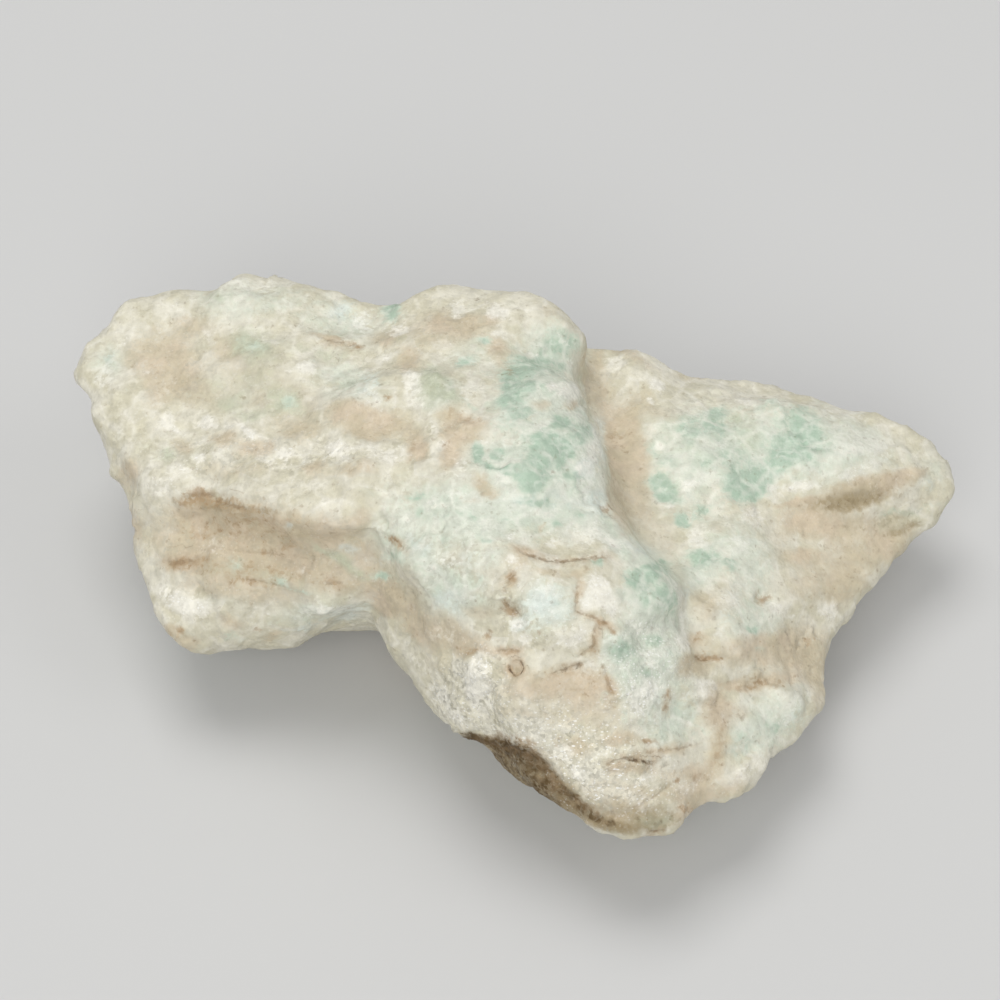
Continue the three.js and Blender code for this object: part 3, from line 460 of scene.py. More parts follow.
# How each tint lies where the camera doesn't see: the most of it, the repeats a millimetre and the shift of
# its noise, how much more of it lies where the skin faces down, and the range of noise that it ramps over.
WILD: dict[Tint, tuple[float, float, float, float, float, float]] = {
    Tint.MINT: (1.0, 0.09, 59.0, 0.0, -0.25, 0.25),
    Tint.SAGE: (0.6, 0.15, 63.0, 0.0, 0.05, 0.6),
    Tint.GREEN: (0.85, 0.23, 61.0, 0.0, 0.12, 0.6),
    Tint.BLUE_AND_PAINTED_LIGHT: (0.7, 0.2, 67.0, 0.0, 0.1, 0.6),
    Tint.CHALK_AND_PAINTED_LIGHT: (0.8, 0.3, 71.0, 0.0, 0.15, 0.6),
    Tint.TAN: (0.9, 0.14, 73.0, 0.3, -0.1, 0.45),
    Tint.UMBER_AND_SHADE: (0.5, 0.25, 77.0, 0.3, 0.2, 0.7),
    Tint.RUST: (0.7, 0.45, 79.0, 0.25, 0.3, 0.75),
    Tint.OLIVE_AND_SHADE: (0.2, 0.3, 83.0, 0.3, 0.4, 1.0),
}

# The tints that run on round the edge of the side that the camera sees: rust, a stain, and umber and olive,
# which are partly stains and partly painted shade.
SOAKING: tuple[Tint, ...] = (Tint.UMBER_AND_SHADE, Tint.RUST, Tint.OLIVE_AND_SHADE)

# The ring of the pit on the nose. Its crack goes on past where it starts, so that only the start fades.
PIT_RING: tuple[tuple[float, float], ...] = (
    (507, 664), (510, 661), (514, 660), (519, 661), (522, 664),
    (523, 668), (520, 673), (515, 675), (510, 673), (507, 669),
)

CRACKS: tuple[Crack, ...] = (
    # the west lobe and the hollow under it
    Crack(((316, 337), (333, 341), (353, 344), (366, 347)), 0.16, 0.1, 0.5),
    Crack(((183, 506), (196, 497), (206, 493), (218, 500), (230, 505), (246, 509), (272, 508)),
          0.2, 0.16, 0.6),
    Crack(((155, 560), (175, 563), (190, 561), (204, 556)), 0.22, 0.12, 0.55),
    Crack(((386, 534), (395, 541), (403, 549)), 0.12, 0.1, 0.6),
    Crack(((200, 545), (240, 551), (290, 556), (330, 562)), 0.12, 0.08, 0.2),
    Crack(((236, 577), (262, 583), (290, 588)), 0.14, 0.08, 0.4),
    Crack(((322, 583), (345, 583)), 0.14, 0.08, 0.5),
    # the crown and the middle face
    Crack(((508, 543), (517, 549), (530, 555), (546, 559), (569, 560), (592, 559), (606, 557), (624, 556)),
          0.14, 0.12, 0.7),
    Crack(((517, 568), (509, 580), (503, 594)), 0.2, 0.14, 0.55),
    Crack(((500, 601), (506, 606), (514, 612), (520, 619)), 0.2, 0.14, 0.7),
    # the nose
    Crack(((580, 571), (578, 590), (577, 611), (590, 615), (606, 622), (617, 634)), 0.14, 0.16, 0.55),
    Crack(((596, 622), (594, 636), (593, 646), (585, 655), (572, 660)), 0.14, 0.14, 0.6),
    Crack(((548, 677), (558, 672), (571, 669), (589, 662)), 0.17, 0.2, 0.85),
    Crack(((598, 768), (606, 765), (615, 762), (625, 759), (641, 760), (652, 763), (664, 769)),
          0.18, 0.2, 0.95),
    Crack(((640, 754), (657, 752), (678, 749), (706, 742)), 0.1, 0.08, 0.35),
    Crack(((601, 661), (605, 676), (611, 690), (616, 696)), 0.12, 0.08, 0.45),
    Crack(((493, 651), (512, 650), (522, 652)), 0.12, 0.1, 0.5),
    Crack(((623, 813), (640, 806), (656, 796), (675, 779)), 0.14, 0.1, 0.35),
    Crack(((644, 832), (658, 831), (668, 829)), 0.12, 0.1, 0.7),
    # the crease of the turn under the nose: a stained line, with painted shade along it
    Crack(((452, 737), (474, 742), (496, 748), (516, 752), (539, 762), (554, 775), (565, 792), (579, 803),
           (602, 813), (621, 817), (650, 822)), 0.34, 0.2, 0.4),
    Crack(PIT_RING + PIT_RING[:6], 0.075, 0.12, 1.0),
    # the east side
    Crack(((692, 655), (704, 657), (714, 658), (727, 659)), 0.16, 0.12, 0.7),
    # the fold below the east lobe: a faint line that is painted shade in the fold
    Crack(((727, 686), (742, 688), (757, 684), (774, 682), (797, 680)), 0.3, 0.1, 0.15),
)

# Small pits, and places where a chip has left the skin standing a little higher or lower, in millimetres.
PITS: tuple[tuple[Spot, float], ...] = (
    (Spot(514.7, 667.5, 6.5, 6.5), -0.12), (Spot(486, 637, 4, 5), -0.15), (Spot(763, 599, 10, 8), -0.2),
    (Spot(511, 580, 7, 7), -0.12), (Spot(510, 612, 12, 8, 20), -0.16), (Spot(547, 610, 32, 32, 0), 0.12),
    (Spot(600, 594, 22, 17, 25), 0.14), (Spot(188, 604, 28, 12, 18), 0.16), (Spot(478, 682, 14, 20, 10), 0.1),
    (Spot(162, 418, 8, 9), 0.14), (Spot(210, 420, 10, 5, -15), 0.14), (Spot(251, 433, 9, 6, 20), 0.12),
    (Spot(288, 444, 8, 6), 0.12), (Spot(309, 366, 11, 8), 0.1), (Spot(571, 392, 18, 12), 0.1),
    (Spot(787, 703, 16, 12, 30), 0.14), (Spot(750, 686, 44, 6, -5), -0.08), (Spot(629, 773, 26, 6), -0.14),
    (Spot(714, 658, 18, 5), -0.12), (Spot(386, 425, 36, 16), -0.18), (Spot(414, 446, 12, 16), -0.14),
    (Spot(462, 424, 26, 12, 8), -0.16), (Spot(225, 500, 40, 6, 3), -0.2), (Spot(853, 500, 34, 8, -5), -0.2),
)

# Where the skin is smooth and where it is most like sugar, on the side that faces the camera.
SMOOTH: tuple[Spot, ...] = spots_of(
    (631, 470, 30, 70, 0, 0.85), (655, 535, 26, 26, 0, 0.8), (850, 555, 55, 50, -25, 0.8),
    (690, 590, 12, 40, -10, 0.6), (235, 520, 60, 14, 5, 0.4), (850, 440, 50, 24, 5, 0.5),
    (760, 655, 50, 14, 0, 0.4),
)
SUGARY: tuple[Spot, ...] = spots_of(
    (560, 760, 130, 60, 15, 1.0), (640, 670, 50, 60, 0, 0.8), (470, 690, 40, 50, 0, 0.9),
    (540, 620, 60, 40, 0, 0.5), (480, 560, 80, 40, 10, 0.4), (250, 455, 150, 26, 0, 0.5),
)
STRIATED: tuple[Spot, ...] = spots_of(
    (260, 570, 120, 48, 8, 1.0), (620, 800, 70, 26, -10, 0.8), (900, 515, 50, 22, -10, 0.6),
)


def smooth_step(values: np.ndarray, low: float, high: float) -> np.ndarray:
    """Ramps values from 0 at low to 1 at high, gently at both ends.

    Args:
        values: What is ramped.
        low: The value that gives 0.
        high: The value that gives 1. It may be under low.

    Returns:
        The ramped values.
    """
    share = np.clip((values - low) / (high - low), 0.0, 1.0)
    return share * share * (3.0 - 2.0 * share)


def sample(
    points: np.ndarray, scale: float, pattern: Callable[[Vector], float], shift: float
) -> np.ndarray:
    """Reads a pattern of Blender's noise module at many points.

    Args:
        points: Points in millimetres, one in each row.
        scale: How many times a millimetre the pattern repeats.
        pattern: The pattern, which takes a place and gives a number.
        shift: How far the pattern is moved, so that two readings of it differ.

    Returns:
        One number for each point.
    """
    moved = points * scale + shift
    return np.array([pattern(Vector(place)) for place in moved])


def fractal(place: Vector) -> float:
    """Gives soft cloudy noise of several sizes, from about -1 to 1."""
    return noise.fractal(place, 0.8, 2.1, 4)


def rolling(place: Vector) -> float:
    """Gives soft noise of two sizes, from about -1 to 1."""
    return noise.fractal(place, 0.9, 2.1, 2)


def cut(points: np.ndarray, cell: float, slope: float, shift: float) -> np.ndarray:
    """Gives the height of a skin broken into small flat facets that meet in sharp ridges.

    Args:
        points: Points in millimetres, one in each row.
        cell: How wide a facet is, in millimetres.
        slope: How steeply the facets tilt.
        shift: How far the facets are moved, so that two sets of them differ.

    Returns:
        A height for each point, in millimetres.
    """
    heights = np.empty(len(points))
    for row, place in enumerate(points / cell + shift):
        here = Vector(place)
        distances, sites = noise.voronoi(here, distance_metric="DISTANCE", exponent=2.5)
        heights[row] = min(
            (here - site).dot(noise.cell_vector(site * 17.0) * 2.0 - Vector((1.0, 1.0, 1.0))) + distance
            for distance, site in zip(distances, sites)
        ) - distances[0]
    return heights * cell * slope


@dataclass
class Skin:
    """The stone's points while it is worked: their places in millimetres, normals and neighbours."""

    points: np.ndarray
    normals: np.ndarray
    edges: np.ndarray
    places: np.ndarray = field(init=False)
    warped: np.ndarray = field(init=False)
    seen: np.ndarray = field(init=False)
    soaked: np.ndarray = field(init=False)

    def look(self, tree: BVHTree) -> None:
        """Finds where the camera sees each point, and whether it does.

        Args:
            tree: The stone's surface, in metres.
        """
        self.places = SIGHT.places(self.points)
        wander = [
            sum(reach * sample(self.points, scale, fractal, shift) for reach, scale in WANDER)
            for shift in (31.0, 57.0)
        ]
        self.warped = self.places + np.stack(wander, axis=1)
        eye = Vector(SIGHT.eye() * MM)
        seen = np.zeros(len(self.points))
        for row, (point, normal) in enumerate(zip(self.points, self.normals)):
            start = Vector((point + SIGHT_LIFT * normal) * MM)
            if tree.ray_cast(start, (eye - start).normalized())[0] is None:
                seen[row] = 1.0
        rounds, none, whole = SEEN_EDGE
        self.seen = smooth_step(self.spread(seen, rounds), none, whole)
        rounds, none, whole = SOAKED_EDGE
        self.soaked = np.maximum(self.seen, smooth_step(self.spread(seen, rounds), none, whole))

    def spread(self, values: np.ndarray, rounds: int) -> np.ndarray:
        """Evens values out over the skin.

        Args:
            values: One number for each point.
            rounds: How many times each number moves to the mean of its neighbours.

        Returns:
            The evened numbers.
        """
        first, second = self.edges[:, 0], self.edges[:, 1]
        count = len(values)
        shares = np.bincount(first, minlength=count) + np.bincount(second, minlength=count)
        for _ in range(rounds):
            sums = np.bincount(first, values[second], count) + np.bincount(second, values[first], count)
            values = 0.5 * values + 0.5 * sums / shares
        return values

    def cover(self, spot: Spot, fade: tuple[float, float], warped: bool = True) -> np.ndarray:
        """Works out how much of a spot lies on each point.

        Args:
            spot: The spot.
            fade: Where it stops being whole and where it ends, as shares of its half size.
            warped: Whether its outline wanders.

        Returns:
            An amount from 0 to 1 for each point, before the spot's own amount.
        """
        places = self.warped if warped else self.places
        turn = math.radians(spot.turn)
        across, down = places[:, 0] - spot.x, places[:, 1] - spot.y
        long_way = (across * math.cos(turn) + down * math.sin(turn)) / spot.wide
        short_way = (down * math.cos(turn) - across * math.sin(turn)) / spot.high
        return smooth_step(np.hypot(long_way, short_way), fade[1], fade[0])

    def laid(
        self, spots: tuple[Spot, ...], fade: tuple[float, float] = FADE, soaks: bool = False
    ) -> np.ndarray:
        """Lays spots over each other on the side that the camera sees.

        Args:
            spots: The spots.
            fade: Where they stop being whole and where they end, as shares of their half sizes.
            soaks: Whether they run on round the edge of that side.

        Returns:
            An amount from 0 to 1 for each point.
        """
        bare = np.ones(len(self.points))
        for spot in spots:
            bare *= 1.0 - spot.amount * self.cover(spot, fade)
        return (1.0 - bare) * (self.soaked if soaks else self.seen)

    def beside(self, crack: Crack) -> tuple[np.ndarray, np.ndarray]:
        """Measures how far each point lies from a crack.

        Args:
            crack: The crack.

        Returns:
            The distance to its line in millimetres, negative on its left, and its strength along it, which
            fades to 0 at its ends.
        """
        path = np.array(crack.path)
        steps = np.diff(path, axis=0)
        lengths = np.hypot(*steps.T)
        total = lengths.sum()
        nearest = np.full(len(self.points), np.inf)
        side = np.zeros(len(self.points))
        along = np.zeros(len(self.points))
        for start, step, length, before in zip(path, steps, lengths, np.cumsum(lengths) - lengths):
            offset = self.places - start
            share = np.clip(offset @ step / length**2, 0.0, 1.0)
            gap = offset - share[:, None] * step
            distance = np.hypot(gap[:, 0], gap[:, 1])
            closer = distance < nearest
            nearest[closer] = distance[closer]
            turned = step[0] * offset[:, 1] - step[1] * offset[:, 0]
            side[closer] = np.where(turned < 0.0, -1.0, 1.0)[closer]
            along[closer] = (before + share * length)[closer] / total
        strength = smooth_step(along, 0.0, CRACK_END) * smooth_step(along, 1.0, 1.0 - CRACK_END)
        return side * nearest * SIGHT.pixel(), strength * (nearest * SIGHT.pixel() < CRACK_REACH)


@dataclass(frozen=True)
class Relief:
    """How rough the skin is. Heights and sizes are in millimetres.

    plate_levels are the places of the plates' steps in their own noise, and plate_edge is half a step's
    width there.
    """

    facet: float = 3.1
    facet_slope: float = 0.095
    chip: float = 1.2
    chip_slope: float = 0.055
    swell: float = 0.05
    grain: float = 0.045
    striation: float = 0.09
    plate_step: float = 0.07
    plate_edge: float = 0.045
    plate_levels: tuple[float, ...] = (-0.1, 0.2, 0.5)
    crack_share: float = 0.45
    seat_margin: float = 0.9

    def height(self, skin: Skin) -> np.ndarray:
        """Gives how far each point of the skin stands out.

        Args:
            skin: The skin that is broken up.

        Returns:
            A height for each point, in millimetres.
        """
        points = skin.points
        rough = 1.0 - skin.laid(SMOOTH)
        sandy = smooth_step(sample(points, 0.16, fractal, 11.0), -0.2, 0.5)
        sugary = np.maximum(skin.laid(SUGARY), 0.35 * sandy)
        under = smooth_step(skin.normals[:, 2], 0.3, -0.2)
        striated = np.maximum(skin.laid(STRIATED), 0.7 * (1.0 - skin.seen) * under)
        height = rough * cut(points, self.facet, self.facet_slope, 3.7)
        height += rough * (0.6 + 0.4 * sugary) * cut(points, self.chip, self.chip_slope, 9.1)
        height += self.swell * sample(points, 0.4, fractal, 5.0) * (0.4 + 0.6 * rough)
        height += self.grain * sample(points, 1.25, rolling, 7.0) * (0.4 + sugary) * rough
        height += self.striation * striated * sample(points * (0.14, 0.5, 1.1), 1.0, rolling, 23.0)
        height += self.plates(points) * rough * (1.0 - 0.7 * striated)
        return height

    def plates(self, points: np.ndarray) -> np.ndarray:
        """Gives the height of the thin cleavage plates that stand on the skin here and there.

        Args:
            points: Points in millimetres, one in each row.

        Returns:
            A height for each point, in millimetres.
        """
        rise = sample(points * (1.0, 1.0, 1.35), 0.24, rolling, 41.0)
        rise = rise + 0.3 * sample(points, 0.8, rolling, 43.0)
        edge = self.plate_edge
        steps = (smooth_step(rise, level - edge, level + edge) for level in self.plate_levels)
        return self.plate_step * sum(steps)

    def carve(self, skin: Skin) -> np.ndarray:
        """Gives how far each point moves for the cracks and pits that have a place of their own.

        Args:
            skin: The skin that is carved.

        Returns:
            A height for each point, in millimetres.
        """
        height = np.zeros(len(skin.points))
        for crack in CRACKS:
            side, strength = skin.beside(crack)
            groove = np.exp(-((side / crack.width) ** 2))
            height -= self.crack_share * crack.depth * strength * groove * skin.seen
        for spot, rise in PITS:
            height += rise * skin.cover(spot, PIT_FADE, warped=False) * skin.seen
        return height


@dataclass
class Stone:
    """The amazonite. Sizes are in millimetres.

    halo is how far off a crack's line is taken to be where there is none, and line_end is where the dark line
    starts to end and where it has ended. Both are counted in the crack's widths.
    """

    relief: Relief = field(default_factory=Relief)
    halvings: int = 2
    merge: float = 0.001
    worn: int = 1
    wear: float = 0.5
    crack_band: float = 0.34
    crack_least: float = 0.02
    edge_least: float = 0.16
    halo: float = 8.0
    line_end: tuple[float, float] = (3.8, 5.0)

    def shell(self) -> bpy.types.Mesh:
        """Copies the solid's skin and makes it fine, finest beside the cracks.

        Returns:
            The fine mesh, in metres.
        """
        bm = bmesh.new()
        bm.from_mesh(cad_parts[NODE].data)
        bmesh.ops.remove_doubles(bm, verts=bm.verts, dist=self.merge * MM)
        for _ in range(self.halvings):
            bmesh.ops.subdivide_edges(bm, edges=bm.edges, cuts=1, use_grid_fill=True)
            for _ in range(self.worn):
                bmesh.ops.smooth_vert(
                    bm, verts=bm.verts, factor=self.wear, use_axis_x=True, use_axis_y=True, use_axis_z=True
                )
        self.refine(bm)
        mesh = bpy.data.meshes.new("amazonite_stone")
        bm.to_mesh(mesh)
        bm.free()
        return mesh

    def refine(self, bm: bmesh.types.BMesh) -> None:
        """Halves the long edges beside the cracks.

        Args:
            bm: The skin.
        """
        bm.verts.ensure_lookup_table()
        points = np.array([vert.co for vert in bm.verts]) / MM
        skin = Skin(points, np.array([vert.normal for vert in bm.verts]), np.zeros((0, 2), int))
        skin.places = SIGHT.places(points)
        near = np.zeros(len(points), bool)
        facing = skin.normals @ SIGHT.axes()[2] > 0.0
        for crack in CRACKS:
            side, strength = skin.beside(crack)
            near |= (np.abs(side) < self.crack_band) & (strength > self.crack_least) & facing
        least = self.edge_least * MM
        edges = [
            edge
            for edge in bm.edges
            if near[edge.verts[0].index] and near[edge.verts[1].index] and edge.calc_length() > least
        ]
        bmesh.ops.subdivide_edges(bm, edges=edges, cuts=1, use_grid_fill=True)
        bmesh.ops.triangulate(bm, faces=bm.faces)

    def read(self, mesh: bpy.types.Mesh) -> Skin:
        """Reads a mesh into arrays.

        Args:
            mesh: The mesh, in metres.

        Returns:
            Its skin, in millimetres, with what the camera sees of it.
        """
        count = len(mesh.vertices)
        points = np.empty(3 * count)
        mesh.vertices.foreach_get("co", points)
        normals = np.empty(3 * count)
        mesh.vertices.foreach_get("normal", normals)
        edges = np.empty(2 * len(mesh.edges), int)
        mesh.edges.foreach_get("vertices", edges)
        skin = Skin(points.reshape(-1, 3) / MM, normals.reshape(-1, 3), edges.reshape(-1, 2))
        bm = bmesh.new()
        bm.from_mesh(mesh)
        skin.look(BVHTree.FromBMesh(bm))
        bm.free()
        return skin

    def shape(self, mesh: bpy.types.Mesh, skin: Skin) -> None:
        """Moves the mesh's points by the relief, and keeps the spot that it stands on flat.

        Args:
            mesh: The mesh.
            skin: Its points.
        """
        height = self.relief.height(skin) + self.relief.carve(skin)
        height *= smooth_step(skin.points[:, 2], 0.0, self.relief.seat_margin)
        moved = skin.points + height[:, None] * skin.normals
        moved[:, 2] = np.maximum(moved[:, 2], 0.0)
        mesh.vertices.foreach_set("co", (moved * MM).ravel())
        mesh.update()

    def tint(self, mesh: bpy.types.Mesh, skin: Skin) -> None:
        """Lays the amounts of the tints and the lines of the cracks on the mesh.

        Args:
            mesh: The mesh.
            skin: Its points before they were moved.
        """
        points = skin.points
        for kind, spots in TINTED.items():
            soaks = kind in SOAKING
            hidden = 1.0 - (skin.soaked if soaks else skin.seen)
            most, scale, shift, lean, low, high = WILD[kind]
            cloudy = sample(points, scale, fractal, shift) - lean * skin.normals[:, 2]
            wild = most * smooth_step(cloudy, low, high)
            self.write(mesh, kind.value, skin.laid(spots, FADES[kind], soaks) + hidden * wild)
        self.write(mesh, "seen", skin.seen)
        self.write(mesh, "sugar", np.maximum(skin.laid(SUGARY), 0.25 * (1.0 - skin.laid(SMOOTH))))
        side = np.full(len(points), self.halo)
        line = np.zeros(len(points))
        whole, gone = self.line_end
        for crack in CRACKS:
            offset, strength = skin.beside(crack)
            widths = offset / crack.width
            closer = (np.abs(widths) < np.abs(side)) & (strength > 0.0)
            side[closer] = widths[closer]
            near = smooth_step(np.abs(widths), gone, whole)
            line[closer] = (crack.stain * strength * near * skin.seen)[closer]
        self.write(mesh, "crack_side", side)
        self.write(mesh, "crack_line", line)

    @staticmethod
    def write(mesh: bpy.types.Mesh, name: str, values: np.ndarray) -> None:
        """Keeps one number for each point on the mesh.

        Args:
            mesh: The mesh.
            name: What the numbers are called.
            values: The numbers.
        """
        attribute = mesh.attributes.new(name, "FLOAT", "POINT")
        attribute.data.foreach_set("value", values.astype(np.float32))

    def build(self) -> bpy.types.Object:
        """Makes the stone.

        Returns:
            The finished stone, riding on the part's body.
        """
        mesh = self.shell()
        skin = self.read(mesh)
        self.tint(mesh, skin)
        self.shape(mesh, skin)
        mesh.polygons.foreach_set("use_smooth", [True] * len(mesh.polygons))
        mesh.materials.append(AmazoniteFinish().build())
        stone = bpy.data.objects.new("amazonite_stone", mesh)
        bpy.context.scene.collection.objects.link(stone)
        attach(stone, "root")
        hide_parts(NODE)
        log.info("stone: %d faces, %.0f%% seen", len(mesh.polygons), 100.0 * skin.seen.mean())
        return stone


class Graph:
    """A material's nodes, laid and joined by short calls. A socket or a plain value can be put anywhere."""

    def __init__(self, name: str) -> None:
        """Makes an empty material.

        Args:
            name: What the material is called.
        """
        self.material = bpy.data.materials.new(name)
        self.material.use_nodes = True
        self.tree = self.material.node_tree
        self.tree.nodes.clear()

    def node(self, kind: str, inputs: dict | None = None, **settings: object) -> bpy.types.Node:
        """Adds a node.

        Args:
            kind: The node's type, without its ShaderNode prefix.
            inputs: What goes into its inputs, by their names or numbers.
            settings: Its own settings.

        Returns:
            The node.
        """
        node = self.tree.nodes.new("ShaderNode" + kind)
        for name, value in settings.items():
            setattr(node, name, value)
        for name, value in (inputs or {}).items():
            socket = node.inputs[name]
            if isinstance(value, Socket):
                self.tree.links.new(value, socket)
            else:
                socket.default_value = value
        return node

    def math(self, operation: str, *numbers: object) -> Socket:
        """Adds a step of arithmetic on one, two or three numbers and gives its result."""
        return self.node("Math", dict(enumerate(numbers)), operation=operation).outputs[0]

    def times(self, first: object, second: object) -> Socket:
        """Multiplies two numbers."""
        return self.math("MULTIPLY", first, second)

    def scaled(self, value: object, share: object, start: object) -> Socket:
        """Multiplies a number by a share and adds it to where it starts."""
        return self.math("MULTIPLY_ADD", value, share, start)

    def centred(self, value: object) -> Socket:
        """Moves a pattern from around a half to around 0."""
        return self.math("SUBTRACT", value, 0.5)

    def part(self, colour: object) -> Socket:
        """Gives the red part of a colour."""
        return self.node("SeparateColor", {"Color": colour}).outputs[0]

    def mix(self, share: object, first: object, second: object, blend: str = "MIX") -> Socket:
        """Adds a mix of two colours and gives its result."""
        node = self.node("Mix", {0: share, 6: first, 7: second}, data_type="RGBA", blend_type=blend)
        return node.outputs[2]

    def ramp(
        self, value: object, low: float, high: float, start: float = 0.0, end: float = 1.0
    ) -> Socket:
        """Adds a gentle ramp of a number from one range to another and gives its result."""
        inputs = {"Value": value, "From Min": low, "From Max": high, "To Min": start, "To Max": end}
        return self.node("MapRange", inputs, interpolation_type="SMOOTHSTEP").outputs["Result"]

    def cloud(self, where: object, scale: float, detail: float = 3.0, rough: float = 0.55) -> Socket:
        """Adds cloudy noise and gives its value, from 0 to 1."""
        inputs = {"Vector": where, "Scale": scale, "Detail": detail, "Roughness": rough}
        return self.node("TexNoise", inputs).outputs["Fac"]

    def cells(self, where: object, scale: float, **settings: object) -> bpy.types.Node:
        """Adds a pattern of cells and gives its node."""
        return self.node("TexVoronoi", {"Vector": where, "Scale": scale}, **settings)

    def amount(self, name: str) -> Socket:
        """Reads what the mesh keeps under a name."""
        return self.node("Attribute", attribute_name=name).outputs["Fac"]


@dataclass(frozen=True)
class AmazoniteFinish:
    """The feldspar's skin: a cloudy pale ground, tints with grainy edges, stains and painted shade, sugary
    grain and painted glints.

    Pattern scales are in repeats a millimetre, and heights are in millimetres.
    """

    cream: Colour = (0.70, 0.67, 0.555, 1.0)
    sand: Colour = (0.61, 0.575, 0.435, 1.0)
    mint: Colour = (0.635, 0.67, 0.565, 1.0)
    pale_green: Colour = (0.555, 0.62, 0.505, 1.0)
    sage: Colour = (0.48, 0.51, 0.37, 1.0)
    deep_green: Colour = (0.405, 0.52, 0.405, 1.0)
    seam: Colour = (0.36, 0.47, 0.40, 1.0)
    vein: Colour = (0.74, 0.765, 0.68, 1.0)
    pale_blue_and_painted_light: Colour = (0.65, 0.715, 0.675, 1.0)
    chalk_and_painted_light: Colour = (0.85, 0.825, 0.735, 1.0)
    tan: Colour = (0.54, 0.46, 0.32, 1.0)
    peach: Colour = (0.59, 0.49, 0.355, 1.0)
    umber_and_shade: Colour = (0.30, 0.235, 0.13, 1.0)
    rust: Colour = (0.40, 0.28, 0.16, 1.0)
    olive_and_shade: Colour = (0.075, 0.042, 0.008, 1.0)
    brown: Colour = (0.25, 0.165, 0.085, 1.0)
    dark: Colour = (0.12, 0.075, 0.035, 1.0)
    painted_glint_white: Colour = (0.95, 0.945, 0.91, 1.0)
    refraction: float = 1.53
    glint_share: float = 0.85
    bump: float = 0.05
    bump_strength: float = 0.7
    block_scale: float = 0.6
    crystal_scale: float = 1.15
    grain_scale: float = 4.8
    crystal_tilt: float = 0.15
    grain_tilt: float = 0.38

    def build(self) -> bpy.types.Material:
        """Makes the material.

        Returns:
            The material.
        """
        graph = Graph("amazonite_skin")
        place = graph.node("TexCoord").outputs["Object"]
        where = graph.node("Mapping", {"Vector": place, "Scale": (1 / MM,) * 3}).outputs["Vector"]
        bend = graph.node("TexNoise", {"Vector": where, "Scale": 1.3, "Detail": 2.0}).outputs["Color"]
        inputs = {0: bend, 1: (0.9, 0.9, 0.9), 2: where}
        bent = graph.node("VectorMath", inputs, operation="MULTIPLY_ADD").outputs[0]
        crystals = graph.cells(bent, self.crystal_scale)
        grains = graph.cells(where, self.grain_scale)
        line = self.line(graph, where)
        colour = self.tinted(graph, where, crystals, grains)
        colour = self.veined(graph, where, bent, colour)
        colour = self.speckled(graph, where, colour, crystals, grains)
        colour = self.stained_and_shaded(graph, where, colour, grains, line)
        glint = self.glint(graph, where)
        # painted highlight: the glints are mixed into the colour as near-white
        colour = graph.mix(graph.times(glint, self.glint_share), colour, self.painted_glint_white)
        shader = graph.node(
            "BsdfPrincipled",
            {
                "Base Color": colour,
                "Roughness": self.roughness(graph, grains, glint),
                "Normal": self.normal(graph, where, crystals, grains, line),
                "IOR": self.refraction,
            },
        )
        graph.node("OutputMaterial", {"Surface": shader.outputs["BSDF"]})
        return graph.material

    def line(self, graph: Graph, where: object) -> Socket:
        """Gives how far each place lies from the nearest crack, with a wandering line.

        Args:
            graph: The material's nodes.
            where: The place on the stone, in millimetres.

        Returns:
            The distance, counted in the crack's widths.
        """
        wander = graph.times(graph.centred(graph.cloud(where, 2.4, 3.0, 0.6)), 2.4)
        return graph.math("ABSOLUTE", graph.math("ADD", graph.amount("crack_side"), wander))

    def tinted(
        self, graph: Graph, where: object, crystals: bpy.types.Node, grains: bpy.types.Node
    ) -> Socket:
        """Lays the tints over each other.

        Args:
            graph: The material's nodes.
            where: The place on the stone, in millimetres.
            crystals: The pattern of the crystals.
            grains: The pattern of the grains.

        Returns:
            The colour.
        """
        parts = (
            graph.centred(graph.cloud(where, 1.25, 3.0, 0.58)),
            graph.centred(graph.part(crystals.outputs["Color"])),
            graph.centred(graph.part(grains.outputs["Color"])),
        )
        # what the clouds, the crystals and the grains add to a tint, and the range that it then ramps over
        mixes = {
            Tint.MINT: ((0.6, 0.15, 0.2), (0.05, 0.85)),
            Tint.SAGE: ((0.45, 0.15, 0.12), (0.05, 0.85)),
            Tint.GREEN: ((0.45, 0.18, 0.12), (0.05, 0.85)),
            Tint.BLUE_AND_PAINTED_LIGHT: ((0.65, 0.15, 0.25), (0.15, 0.95)),
            Tint.CHALK_AND_PAINTED_LIGHT: ((0.85, 0.12, 0.35), (0.12, 1.05)),
            Tint.TAN: ((0.5, 0.08, 0.16), (0.05, 0.88)),
            Tint.UMBER_AND_SHADE: ((0.4, 0.06, 0.2), (0.05, 0.95)),
        }
        masks = {}
        for kind, (shares, reach) in mixes.items():
            amount = graph.amount(kind.value)
            for pattern, share in zip(parts, shares):
                amount = graph.scaled(pattern, share, amount)
            masks[kind] = graph.ramp(amount, *reach)
        earth = graph.mix(graph.ramp(graph.cloud(where, 0.5, 3.0), 0.4, 0.62), self.tan, self.peach)
        leaf = graph.mix(graph.ramp(masks[Tint.GREEN], 0.35, 1.0), self.pale_green, self.deep_green)
        blocks = graph.part(graph.cells(where, self.block_scale).outputs["Color"])
        cloudy = graph.scaled(blocks, 0.3, graph.cloud(where, 0.7, 3.0))
        colour = graph.mix(graph.ramp(cloudy, 0.45, 0.85), self.cream, self.sand)
        milky = graph.ramp(graph.cloud(where, 0.9, 3.0, 0.6), 0.48, 0.68, 0.0, 0.45)
        leafy = graph.ramp(graph.cloud(where, 0.8, 3.0, 0.6), 0.44, 0.62, 0.0, 0.7)
        ice = graph.mix(leafy, graph.mix(milky, self.mint, self.chalk_and_painted_light), self.pale_green)
        colour = graph.mix(masks[Tint.MINT], colour, ice)
        colour = graph.mix(graph.times(masks[Tint.TAN], 0.9), colour, earth)
        colour = graph.mix(graph.times(masks[Tint.SAGE], 0.9), colour, self.sage)
